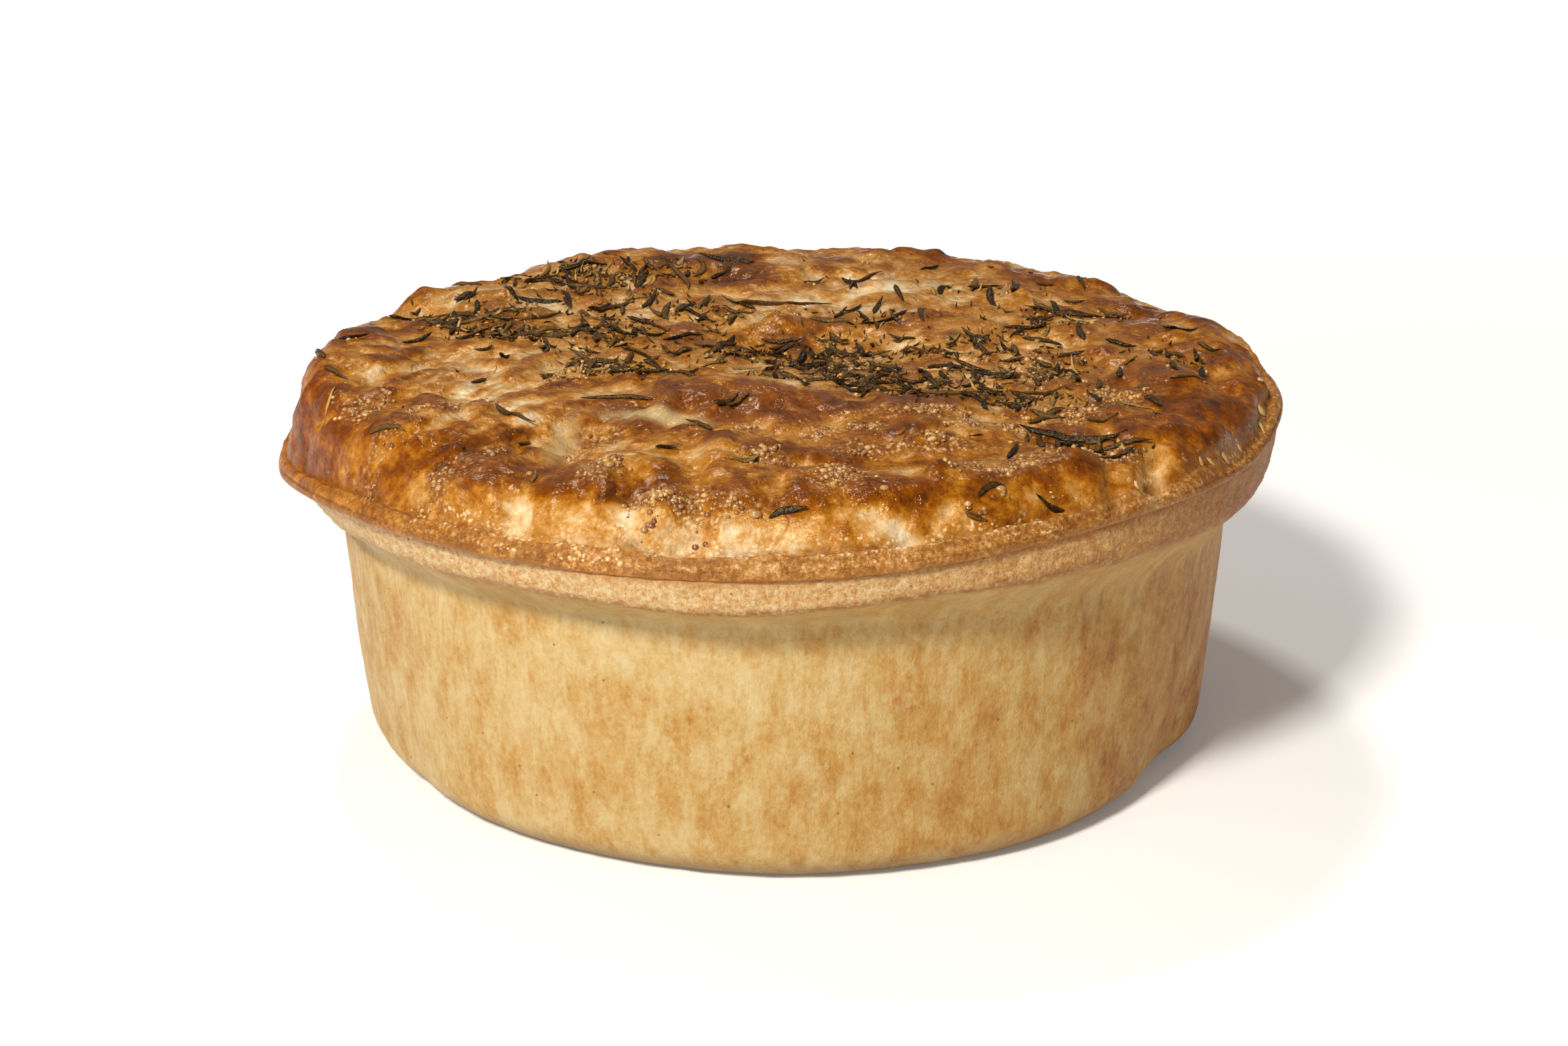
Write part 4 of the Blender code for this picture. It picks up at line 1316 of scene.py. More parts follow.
@dataclass
class PastryLid:
    """The lid: a puffed, folded sheet with wrinkles, blisters and a grooved lip."""

    form: LidForm = LidForm()
    rings: int = 155
    top_rings: int = 140
    ring_spread: float = 1.3
    crown: float = 61.0 * MM
    crown_share: float = 0.65
    slack: float = 0.08 * MM
    edge_rounding: float = 0.15 * MM
    under_rounding: float = 1.1 * MM
    # Heights of the relief, in millimetres.
    rib_height: float = 0.45
    puff_height: float = 1.25
    lump_height: float = 0.8
    knob_height: float = 0.28
    leather_height: float = 0.06
    bulge_height: float = 0.6
    blister_count: int = 90
    blister_size: tuple[float, float] = (0.7, 2.0)
    fibre_heading: float = math.radians(56.0)
    glossy_bearing: float = math.radians(202.0)
    glossy_spread: float = math.radians(24.0)
    left_bearing: float = math.radians(190.0)
    seed: int = 23

    def under(self) -> list[tuple[float, float]]:
        """Return the lip's section beyond the top, from the edge inwards.

        Returns:
            Pairs of inset and height above the seam, in metres.
        """
        thick = self.form.lip_thickness
        low = thick * 0.3
        gap = self.form.seam.gap
        section = []
        edge_rows = 6
        for step in range(1, edge_rows + 1):
            turn = 0.5 * math.pi * step / edge_rows
            height = thick * (0.3 + 0.2 * math.cos(turn))
            section.append((self.edge_rounding * (1.0 - math.sin(turn)), height))
        under_rows = 5
        for step in range(1, under_rows + 1):
            turn = 0.5 * math.pi * step / under_rows
            section.append((self.under_rounding * (1.0 - math.cos(turn)), low + (gap - low) * math.sin(turn)))
        section.extend((inset * MM, gap) for inset in (2.0, 4.0, 8.4))
        return section

    def disc(self) -> tuple[bpy.types.Object, Array, Array]:
        """Make a square grid whose squares will be rings.

        Returns:
            The grid, and each vertex's ring and bearing.
        """
        rings = self.rings
        shape = bmesh.new()
        bmesh.ops.create_grid(shape, x_segments=2 * rings, y_segments=2 * rings, size=1.0)
        bmesh.ops.contextual_create(shape, geom=[edge for edge in shape.edges if edge.is_boundary])
        mesh = bpy.data.meshes.new("dressed_lid")
        shape.to_mesh(mesh)
        shape.free()
        u, v, _ = read_points(mesh).T
        ring = np.rint(np.maximum(np.abs(u), np.abs(v)) * rings).astype(int)
        wide = np.abs(u) >= np.abs(v)
        slope = np.where(wide, v / np.where(u == 0.0, 1.0, u), u / np.where(v == 0.0, 1.0, v))
        bearing = np.where(wide, slope * math.pi / 4.0, math.pi / 2.0 - slope * math.pi / 4.0)
        bearing = bearing + np.where(np.where(wide, u, v) < 0.0, math.pi, 0.0)
        return linked("dressed_lid", mesh), ring, bearing

    def shaped(self, ring: Array, bearing: Array) -> Array:
        """Return the places of the grid's vertices on the lid's shape.

        Args:
            ring: the ring of each vertex.
            bearing: its direction from the axis in radians.

        Returns:
            Rows of x, y and z in metres.
        """
        seam = self.form.seam
        under = self.under()[: self.rings - self.top_rings]
        outer = self.form.outer(bearing) - self.slack
        share = np.clip(ring / self.top_rings, 0.0, 1.0)
        radius = (outer - 0.25 * MM) * (1.0 - (1.0 - share) ** self.ring_spread)
        height = self.form.height(radius * np.cos(bearing), radius * np.sin(bearing))
        for count, (inset, lift) in enumerate(under, start=self.top_rings + 1):
            here = ring == count
            radius = np.where(here, outer - inset, radius)
            raised = lift * self.form.thickness(bearing) / self.form.lip_thickness
            height = np.where(here, seam.at(radius, bearing) + raised, height)
        last = ring > self.top_rings + len(under)
        radius = np.where(last, seam.flat_radius - 0.5 * MM, radius)
        height = np.where(last, seam.at(radius, bearing) + seam.gap, height)
        return np.column_stack((radius * np.cos(bearing), radius * np.sin(bearing), height))

    def drawn_out(self, grain: GrainField, points: Array, size: tuple[float, float, float]) -> Array:
        """Return noise whose lumps run along the heading of the fibres.

        Args:
            grain: the noise.
            points: rows of x, y and z in metres.
            size: the lumps' length, width and height in metres.

        Returns:
            One number for each point.
        """
        turn = self.fibre_heading
        along = points[:, 0] * math.cos(turn) + points[:, 1] * math.sin(turn)
        across = points[:, 1] * math.cos(turn) - points[:, 0] * math.sin(turn)
        return grain.layered(np.column_stack((along, across, points[:, 2])), size, 2)

    def relief(self, points: Array, inset: Array) -> Array:
        """Return the finer relief along the surface's normal: ribs, puffs, lumps, creases and a bulge.

        Args:
            points: rows of x, y and z in metres.
            inset: how far inside the lip each is, in metres.

        Returns:
            The rise at each point, in metres.
        """
        x, y, _ = points.T
        grain = GrainField(self.seed)
        turned = points + grain.warp(points, 2.2 * MM, 9.0 * MM)
        ribs = self.drawn_out(grain, turned, (13.0 * MM, 2.4 * MM, 6.0 * MM))
        puffs = np.abs(grain.layered(turned + 0.3, 13.0 * MM, 2)) - 0.25
        lumps = np.abs(grain.layered(turned + 0.1, 6.5 * MM, 2)) - 0.2
        knobs = grain.layered(turned, 3.2 * MM, 2)
        leather = grain.layered(points, 1.6 * MM, 2)
        dry = total_reach(HERB_BEDS, x, y) / 14.0
        drawn = np.clip(total_reach(DRAWN_RIBS, x, y), 0.0, 1.0) * between(inset, 5.0 * MM, 12.0 * MM)
        height = self.rib_height * drawn * ribs + self.puff_height * puffs
        height = height + self.lump_height * lumps + self.knob_height * knobs
        height += self.leather_height * leather * (1.0 + 2.0 * dry)
        settled = 0.16 + 0.84 * between(inset, 0.8 * MM, 4.6 * MM)
        notch = bell(np.arctan2(y, x), self.form.notch_bearing, self.form.notch_spread)
        bulge = self.bulge_height * notch * hump(inset - 6.5 * MM, 2.4 * MM)
        return (height * settled + bulge + total_reach(CREASES, x, y)) * MM

    def blisters(self, x: Array, y: Array) -> Array:
        """Return the relief of small round blisters, denser at the front.

        Args:
            x: places along X in metres.
            y: places along Y in metres.

        Returns:
            The rise at each place, in metres.
        """
        draw = random.Random(self.seed)
        height = np.zeros_like(x)
        for _ in range(self.blister_count):
            bearing = draw.gauss(FRONT, 1.0)
            reach = draw.uniform(0.3, 0.93) * self.form.lip_radius
            size = draw.uniform(*self.blister_size) * MM
            middle_x = reach * math.cos(bearing)
            middle_y = reach * math.sin(bearing)
            spread = ((x - middle_x) ** 2 + (y - middle_y) ** 2) / size**2
            height += size * draw.uniform(0.12, 0.3) * np.exp(-spread)
        return height

    def glossy(self, bearing: Array) -> Array:
        """Return 1 where the lip is smooth and glazed, on the left."""
        return bell(bearing, self.glossy_bearing, self.glossy_spread)

    def lip_ridges(self, points: Array, inset: Array, bearing: Array) -> Array:
        """Return the relief of the pressed lip: ridges and grooves that come and go, with crumb on them.

        Args:
            points: rows of x, y and z in metres.
            inset: how far inside the lip each is, in metres.
            bearing: its direction from the axis in radians.

        Returns:
            The rise at each point, in metres.
        """
        grain = GrainField(self.seed + 1)
        front = bell(bearing, FRONT, 1.1)
        drift = 0.7 * MM * grain.layered(points, 14.0 * MM, 3)
        beads = 0.55 + 0.9 * grain.layered(points + 0.2, 2.6 * MM, 2)
        height = np.zeros_like(inset)
        for ridge in LIP_RIDGES:
            height += ridge.rise * MM * hump(inset + drift - ridge.inset * MM, ridge.width * MM)
        crumb = 0.16 * MM * grain.layered(points, 1.5 * MM, 2) * (1.0 - between(inset, 2.5 * MM, 4.0 * MM))
        sway = 0.22 * MM * grain.layered(points + 0.4, 9.0 * MM, 3)
        sway = sway * (1.0 - between(inset, 2.0 * MM, 4.0 * MM))
        crumb *= 1.0 - 0.7 * self.glossy(bearing)
        return height * beads * (0.25 + 0.75 * front) + crumb + sway - 0.12 * MM * (inset < 0.4 * MM)

    def browning(self, points: Array, inset: Array, bearing: Array, relief: Array) -> Array:
        """Return how browned the lid is, from 0 for pale dough to 1 for scorched.

        Args:
            points: rows of x, y and z in metres.
            inset: how far inside the lip each is, in metres.
            bearing: its direction from the axis in radians.
            relief: the rise of the relief there, in metres.

        Returns:
            One number for each point.
        """
        x, y, _ = points.T
        grain = GrainField(self.seed + 2)
        clouds = grain.layered(points + grain.warp(points, 2.5 * MM, 8.0 * MM), 11.0 * MM, 4)
        fibres = self.drawn_out(grain, points, (9.0 * MM, 1.5 * MM, 6.0 * MM))
        fibres *= between(inset, 8.0 * MM, 15.0 * MM)
        drawn = np.clip(total_reach(DRAWN_FIBRES, x, y), 0.0, 1.0)
        flank = window(inset, (1.2 * MM, 2.8 * MM), (7.0 * MM, 15.0 * MM))
        pressed = bell(bearing, math.radians(-103.0), 0.5)
        bake = 0.53 + total_reach(TOASTED, x, y) + 0.18 * np.clip(relief / (0.5 * MM), -1.0, 1.2)
        bake = bake + 0.2 * clouds + 0.17 * flank * between(-y, 0.0, 30.0 * MM) + 0.28 * fibres * drawn
        bake = np.minimum(bake, 0.82 + 0.1 * between(y, 20.0 * MM, 40.0 * MM))
        return bake - self.steep(inset) * (0.42 * pressed + 0.04)

    def steep(self, inset: Array) -> Array:
        """Return 1 on the steep rise just inside the lip."""
        return window(inset, (1.6 * MM, 2.6 * MM), (4.4 * MM, 6.6 * MM))

    def masks(
        self, points: Array, inset: Array, bearing: Array, relief: Array, ridges: Array
    ) -> dict[str, Array]:
        """Return where the lid is browned, bare, stained, foamy, crusty and wet, and where sheen is painted.

        Args:
            points: rows of x, y and z in metres.
            inset: how far inside the lip each is, in metres.
            bearing: its direction from the axis in radians.
            relief: the rise of the relief there, in metres.
            ridges: the rise of the lip's ridges there, in metres.

        Returns:
            One number for each point, by the mask's name.
        """
        x, y, z = points.T
        frayed = inset + 0.8 * MM * GrainField(self.seed + 2).layered(points, 4.0 * MM, 3)
        lip = (1.0 - between(frayed, 1.4 * MM, 3.2 * MM)) * (1.0 - 0.75 * self.glossy(bearing))
        dough = np.clip(1.6 * total_reach(BARE_DOUGH, x, y) - 0.25, 0.0, 1.0)
        stain = np.clip(total_reach(HERB_BEDS[:-1], x, y) / 13.0, 0.0, 1.0)
        edge = 1.0 - between(inset, 4.0 * MM, 12.0 * MM)
        aside = edge * (bell(bearing, self.left_bearing, 0.7) + bell(bearing, math.radians(-5.0), 0.6))
        front = bell(bearing, FRONT, 1.2)
        far = between(y, 0.0, 50.0 * MM)
        wet = 1.0 - 0.5 * dough - 0.55 * lip - 0.15 * far - 0.85 * aside - 0.5 * self.steep(inset) * front
        rise = z - self.form.seam.at(self.form.seam.flange_radius, bearing)
        # Painted sheen: strongest away from the front.
        painted_sheen = 1.0 - 0.8 * between(-y, 30.0 * MM, 50.0 * MM)
        on_lip = inset < 4.5 * MM
        return {
            "bake": self.browning(points, inset, bearing, relief),
            "dough": dough,
            "stain": stain,
            "foam": np.clip(1.6 * total_reach(FOAM, x, y) - 0.1 + 0.35 * stain, 0.0, 1.0),
            "painted_sheen": painted_sheen * between(inset, 8.0 * MM, 16.0 * MM),
            "lip": lip,
            "wet": np.clip(wet, 0.0, 1.0),
            # Painted light: the lip's foot, inside the seam's groove.
            "seam": (1.0 - between(rise, 0.3 * MM, 1.1 * MM)) * (inset < 3.0 * MM),
            # Where glints are painted: the crests of the lip's ridges, at the front.
            "crest": between(ridges, 0.06 * MM, 0.16 * MM) * on_lip * front,
            # Painted shade: the grooves between the lip's ridges.
            "groove": between(-ridges, 0.03 * MM, 0.16 * MM) * on_lip,
            # Where the top is yellowed against the pale reflection: its left edge, and weaker its right.
            "flank": edge * (bell(bearing, self.left_bearing, 0.5) + 0.3 * bell(bearing, RIGHT, 0.5)),
        }

    def build(self) -> bpy.types.Object:
        """Build the dressed lid.

        Returns:
            The piece, which stands for the part's pastry_lid.
        """
        lid, ring, bearing = self.disc()
        points = self.shaped(ring, bearing)
        write_points(lid.data, points)
        inset = self.form.outer(bearing) - np.hypot(points[:, 0], points[:, 1])
        relief = self.relief(points, inset)
        ridges = self.lip_ridges(points, inset, bearing)
        lift = relief + ridges + self.blisters(points[:, 0], points[:, 1])
        lift = np.where(ring <= self.top_rings, lift, 0.0)
        places = points + read_normals(lid.data) * lift[:, None]
        places[:, 2] -= self.crown_share * np.maximum(places[:, 2] - self.crown, 0.0)
        write_points(lid.data, places)
        for name, values in self.masks(points, inset, bearing, relief, ridges).items():
            write_mask(lid.data, name, values)
        lid.data.materials.append(LidFinish().material())
        lid.data.shade_smooth()
        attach(lid, "root")
        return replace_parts(lid, "pastry_lid")


class Ground:
    """The lid's surface, as what lies on it needs it."""

    above: float = 0.2

    def __init__(self, lid: bpy.types.Object) -> None:
        """Read the lid's mesh.

        Args:
            lid: the dressed lid.
        """
        shape = bmesh.new()
        shape.from_mesh(lid.data)
        self.tree = BVHTree.FromBMesh(shape)
        shape.free()

    def under(self, x: float, y: float) -> tuple[Vector, Vector]:
        """Return the point of the surface below a place, and its normal."""
        point, normal, _, _ = self.tree.ray_cast(Vector((x, y, self.above)), Vector((0.0, 0.0, -1.0)))
        return point, normal


class Heap:
    """Many small meshes gathered into one piece."""

    def __init__(self, name: str) -> None:
        """Start an empty heap.

        Args:
            name: the piece's name.
        """
        self.name = name
        self.points: list[Array] = []
        self.faces: list[list[int]] = []
        self.tones: list[Array] = []
        self.count = 0

    def add(self, points: Array, faces: list[list[int]], tone: Array) -> None:
        """Add one mesh.

        Args:
            points: its rows of x, y and z in metres.
            faces: the numbers of each face's points.
            tone: one number for each point, from dark to fair.
        """
        self.faces.extend([self.count + i for i in face] for face in faces)
        self.points.append(points)
        self.tones.append(tone)
        self.count += len(points)

    def build(self, material: bpy.types.Material, slot: str) -> bpy.types.Object:
        """Build the piece.

        Args:
            material: its material.
            slot: the name of a part's slot; not used.

        Returns:
            The piece, which rides on the root.
        """
        mesh = bpy.data.meshes.new(self.name)
        mesh.from_pydata(np.vstack(self.points).tolist(), [], self.faces)
        write_mask(mesh, "tone", np.concatenate(self.tones))
        mesh.materials.append(material)
        mesh.shade_smooth()
        piece = linked(self.name, mesh)
        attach(piece, "root")
        return piece


@dataclass(frozen=True)
class Leaf:
    """One leaf as it lies: its middle in plan and length in metres, and its heading in radians."""

    x: float
    y: float
    length: float
    heading: float
    bow: float = 0.0

    def spot(self, ahead: float, aside: float) -> tuple[float, float]:
        """Return a place beside the leaf.

        Args:
            ahead: how far it is from the middle along the heading, in metres.
            aside: how far it is to the heading's left, in metres.

        Returns:
            Its x and y in metres.
        """
        x = self.x + ahead * math.cos(self.heading) - aside * math.sin(self.heading)
        y = self.y + ahead * math.sin(self.heading) + aside * math.cos(self.heading)
        return x, y


def as_leaves(*rows: Sequence[float]) -> tuple[Leaf, ...]:
    """Return leaves from rows of x, y and length in millimetres and heading in degrees."""
    return tuple(Leaf(x * MM, y * MM, length * MM, math.radians(heading)) for x, y, length, heading in rows)


# The part's own largest leaves, placed as the photograph shows them.
LONG_LEAVES = as_leaves(
    (0, 25, 16, 8), (14, 38, 13, 62), (-18, 38, 13, -72), (-26, 8, 12, -58), (-22, 12, 11, -52),
    (-31, 5, 10, -50), (-22, -7, 9, -48), (-31, -10, 10, -66), (-24, -31, 11, -14),
    (-38, -37, 9, -48), (-12, -42, 8, -62), (40, -44, 15, -12), (45, 18, 13, -6), (57, -8, 8, 78),
    (6, 5, 10, 66), (-35, 45, 10, 20), (-10, 49, 10, -12), (38, 33, 9, 84), (16, 16, 9, 28),
    (27, -66, 5, 40), (-55, -44, 7, -35), (0.5, -71.5, 5, 0),
)

# Smaller leaves that the part leaves out, placed as the photograph shows them.
STRAY_LEAVES = as_leaves(
    (-53, 28, 5, 60), (-45, 28, 7, -65), (-58, 20, 8, 20), (-61, 16, 5, 12), (-36, 37, 8, -75),
    (-24, 40, 8, 80), (-22, 25, 8, 75), (-13, 24, 9, 80), (-16, 21, 7, 70), (-36, 28, 6, -70),
    (-66, -3, 5, 30), (-57, 1, 5, 18), (-46, -5, 3, 0), (-45, -20, 3, 45), (-70, -10, 5, -65),
    (-66, -20, 6, -45), (19, 28, 7, -80), (25, 47, 5, 45), (32, 36, 9, 80), (44, 38, 3, 0),
    (48, 28, 4, -35), (53, 24, 4, -45), (62, 5, 6, 10), (65, -5, 6, -60), (52, -1, 5, -20),
    (50, -16, 6, 80), (62, -17, 6, 80), (-8, -34, 5, 45), (-36, -45, 3, 60), (-16, -52, 4, -40),
    (37, -36, 5, -30), (35, -64, 4, 10), (25, -69, 3, 0), (12, -22, 8, 70), (31, -52, 5, 70),
    (45, -52, 6, 25),
)


@dataclass(frozen=True)
class HerbCut:
    """How one kind of herb piece is cut: its section, size, lie and finish."""

    name: str
    finish: HerbFinish
    width: float
    thickness: float
    lengths: tuple[float, float]
    count: int
    stations: int
    ring: int
    lift: float
    groove: float
    margin: float = 5.0 * MM


class HerbKind(Enum):
    """The kinds of herb piece on the lid."""

    NEEDLE = HerbCut(
        name="herb_needles",
        finish=HerbFinish("dark_needle", dark=(12, 6, 2), fair=(118, 80, 32)),
        width=0.9 * MM, thickness=0.65 * MM, lengths=(2.5 * MM, 8.0 * MM), count=200,
        stations=10, ring=8, lift=0.2 * MM, groove=0.6,
    )
    OLIVE = HerbCut(
        name="herb_curls",
        finish=HerbFinish("olive_leaf", dark=(34, 21, 6), fair=(190, 148, 76)),
        width=1.15 * MM, thickness=0.5 * MM, lengths=(2.0 * MM, 5.5 * MM), count=170,
        stations=9, ring=8, lift=0.1 * MM, groove=0.8,
    )
    BIT = HerbCut(
        name="herb_bits",
        finish=HerbFinish("leaf_dust", dark=(26, 16, 5), fair=(140, 98, 44)),
        width=0.5 * MM, thickness=0.4 * MM, lengths=(0.5 * MM, 2.4 * MM), count=1250,
        stations=4, ring=5, lift=0.1 * MM, groove=0.0,
    )
    STRAW = HerbCut(
        name="herb_stalks",
        finish=HerbFinish("straw_stalk", dark=(150, 112, 58), fair=(222, 186, 120)),
        width=0.55 * MM, thickness=0.45 * MM, lengths=(2.0 * MM, 6.0 * MM), count=46,
        stations=6, ring=6, lift=0.2 * MM, groove=0.0,
    )

    def faces(self) -> list[list[int]]:
        """Return the faces of one piece of this kind, a closed tube of rings.

        Returns:
            The numbers of each face's points.
        """
        stations, ring = self.value.stations, self.value.ring
        faces = []
        for step in range(stations - 1):
            here = step * ring
            for corner in range(ring):
                following = (corner + 1) % ring
                faces.append([here + corner, here + following, here + ring + following, here + ring + corner])
        last = (stations - 1) * ring
        faces.append(list(range(ring))[::-1])
        faces.append([last + corner for corner in range(ring)])
        return faces


@dataclass
class HerbScatter:
    """The dried herbs: the part's own leaves, and the smaller ones that its solid leaves out."""

    ground: Ground
    form: LidForm = LidForm()
    seed: int = 21
    part_strewn: int = 74
    part_lengths: tuple[float, float] = (4.5 * MM, 8.5 * MM)
    part_spacing: float = 4.2 * MM
    part_margin: float = 9.0 * MM
    part_bow: float = 0.14
    bow: float = 0.08
    narrowing: float = 0.65
    # How far a leaf's end may stand up, in millimetres.
    tilt: float = 0.9
    lying: list[Leaf] = field(default_factory=list)

    def part_leaves(self) -> list[Leaf]:
        """Return the leaves of the part's solid, by its own rule.

        Returns:
            The leaves, the placed ones first.
        """
        draw = random.Random(self.seed)
        leaves = list(LONG_LEAVES)
        weights = [bed.strength for bed in HERB_BEDS]
        while len(leaves) < len(LONG_LEAVES) + self.part_strewn:
            bed = draw.choices(HERB_BEDS, weights)[0]
            x = MM * draw.gauss(bed.x, 0.6 * bed.half_length)
            y = MM * draw.gauss(bed.y, 0.6 * bed.half_width)
            heading = draw.uniform(0.0, 2.0 * math.pi)
            share = (len(leaves) - len(LONG_LEAVES)) / self.part_strewn
            length = self.part_lengths[1] + (self.part_lengths[0] - self.part_lengths[1]) * share
            inside = math.hypot(x, y) < self.form.lip_radius - self.part_margin
            if inside and all(math.hypot(x - leaf.x, y - leaf.y) > self.part_spacing for leaf in leaves):
                leaves.append(Leaf(x, y, length, heading))
        bows = [draw.uniform(-self.part_bow, self.part_bow) for _ in leaves]
        return [Leaf(leaf.x, leaf.y, leaf.length, leaf.heading, bow) for leaf, bow in zip(leaves, bows)]

    def strewn(self, cut: HerbCut, draw: random.Random) -> list[Leaf]:
        """Return pieces of one kind strewn over the herb beds.

        Args:
            cut: their kind.
            draw: their random source.

        Returns:
            The pieces as they lie.
        """
        leaves = []
        weights = [bed.strength for bed in HERB_BEDS]
        while len(leaves) < cut.count:
            bed = draw.choices(HERB_BEDS, weights)[0]
            x = MM * draw.gauss(bed.x, 0.62 * bed.half_length)
            y = MM * draw.gauss(bed.y, 0.62 * bed.half_width)
            length = draw.uniform(*cut.lengths) * draw.uniform(0.7, 1.0)
            turn = draw.uniform(0.0, 2.0 * math.pi)
            heading = math.atan2(math.sin(turn), self.narrowing * math.cos(turn))
            if math.hypot(x, y) < self.form.lip_radius - cut.margin:
                leaves.append(Leaf(x, y, length, heading, draw.uniform(-self.bow, self.bow)))
        return leaves

    def spine(self, cut: HerbCut, heights: Array, runs: Array, draw: random.Random) -> Array:
        """Return the heights of a leaf's spine, stiffer than the surface under it and tilted a little.

        Args:
            cut: the leaf's kind.
            heights: the surface's heights under it in metres.
            runs: places along it from -1 to 1.
            draw: its random source.

        Returns:
            One height for each place, in metres.
        """
        stiff = np.polyval(np.polyfit(runs, heights, 2), runs)
        spine = 0.75 * np.maximum(stiff, heights) + 0.25 * heights + cut.lift
        spine += draw.uniform(0.0, self.tilt) * MM * np.clip(runs * draw.choice((-1.0, 1.0)), 0.0, 1.0) ** 1.5
        return spine

    def blade(
        self,
        cut: HerbCut,
        length: float,
        middles: list[Vector],
        across: Vector,
        up: Vector,
        draw: random.Random,
    ) -> list[Vector]:
        """Return a leaf's points: rings round its spine, grooved, blunt at the ends and twisted.

        Args:
            cut: the leaf's kind.
            length: its length in metres.
            middles: the points of its spine.
            across: the direction across it.
            up: the direction away from the surface.
            draw: its random source.

        Returns:
            The points, ring after ring.
        """
        width = cut.width * draw.uniform(0.75, 1.2) * min(1.25, 0.45 + length / (8.0 * MM))
        thickness = cut.thickness * draw.uniform(0.75, 1.25)
        blunt = draw.uniform(1.6, 3.0)
        skew = draw.uniform(-0.6, 0.6)
        twist = draw.uniform(-0.7, 0.7)
        roll = draw.uniform(-0.5, 0.5)
        points = []
        for run, middle in zip(np.linspace(-1.0, 1.0, cut.stations), middles):
            taper = max(0.12, (1.0 - min(1.0, abs((run + skew) / (1.0 + skew * run))) ** blunt) ** 0.6)
            turn = roll + twist * run
            for corner in range(cut.ring):
                angle = 2.0 * math.pi * corner / cut.ring
                out = 0.5 * width * taper * math.cos(angle)
                rise = 0.5 * thickness * taper * math.sin(angle)
                if cut.groove and math.sin(angle) > 0.9:
                    rise *= 1.0 - cut.groove
                wide = out * math.cos(turn) - rise * math.sin(turn)
                high = out * math.sin(turn) + rise * math.cos(turn)
                points.append(middle + across * wide + up * high)
        return points

    def lay(self, kind: HerbKind, leaf: Leaf, draw: random.Random, heap: Heap) -> None:
        """Add one leaf to a heap: a bowed, grooved blade that follows the surface under it.

        Args:
            kind: the leaf's kind.
            leaf: where it lies.
            draw: its random source.
            heap: what it is added to.
        """
        cut = kind.value
        ahead = Vector((math.cos(leaf.heading), math.sin(leaf.heading), 0.0))
        aside = Vector((-ahead.y, ahead.x, 0.0))
        spots = []
        for step in range(cut.stations):
            run = step / (cut.stations - 1) - 0.5
            side = leaf.bow * leaf.length * (1.0 - 4.0 * run * run)
            spots.append(Vector((leaf.x, leaf.y, 0.0)) + ahead * run * leaf.length + aside * side)
        found = [self.ground.under(spot.x, spot.y) for spot in spots]
        if any(point is None for point, _ in found):
            return
        heights = np.array([point.z for point, _ in found])
        spine = self.spine(cut, heights, np.linspace(-1.0, 1.0, cut.stations), draw)
        middles = [Vector((spot.x, spot.y, height)) for spot, height in zip(spots, spine)]
        normal = sum((normal for _, normal in found), Vector()).normalized()
        across = ahead.cross(normal).normalized()
        up = across.cross(ahead).normalized()
        points = self.blade(cut, leaf.length, middles, across, up if up.z > 0.0 else -up, draw)
        tone = draw.uniform(0.0, 0.5) ** 1.3 + (0.4 if draw.random() < 0.22 else 0.0)
        ridge = 1.0 - np.abs(np.cos(2.0 * math.pi * (np.arange(len(points)) % cut.ring) / cut.ring))
        heap.add(np.array(points), kind.faces(), tone * (0.5 + 1.2 * ridge))
        self.lying.append(leaf)

    def build(self) -> list[bpy.types.Object]:
        """Build the herbs.

        Returns:
            One piece for each kind.
        """
        pieces = []
        for number, kind in enumerate(HerbKind):
            cut = kind.value
            draw = random.Random(self.seed + 10 + number)
            heap = Heap(cut.name)
            leaves = self.strewn(cut, draw)
            if kind is HerbKind.NEEDLE:
                leaves = self.part_leaves() + list(STRAY_LEAVES) + leaves
            for leaf in leaves:
                self.lay(kind, leaf, draw, heap)
            pieces.append(heap.build(cut.finish.material(), "herb_leaf"))
        return pieces


@dataclass(frozen=True)
class Bead:
    """One larger bead of glaze, its place in plan and its size in millimetres."""

    x: float
    y: float
    size: float


# The beads that stand at the lip and in the folds at the front.
DROPS = (
    Bead(-15.2, -65.7, 0.9),
    Bead(-16.8, -67.6, 0.75),
    Bead(-13.5, -67.4, 0.7),
    Bead(-18.6, -67.0, 0.55),
    Bead(-3.7, -71.0, 0.85),
    Bead(-23.1, -60.9, 0.7),
    Bead(28.3, -65.1, 0.7),
    Bead(13.0, -68.0, 0.6),
)


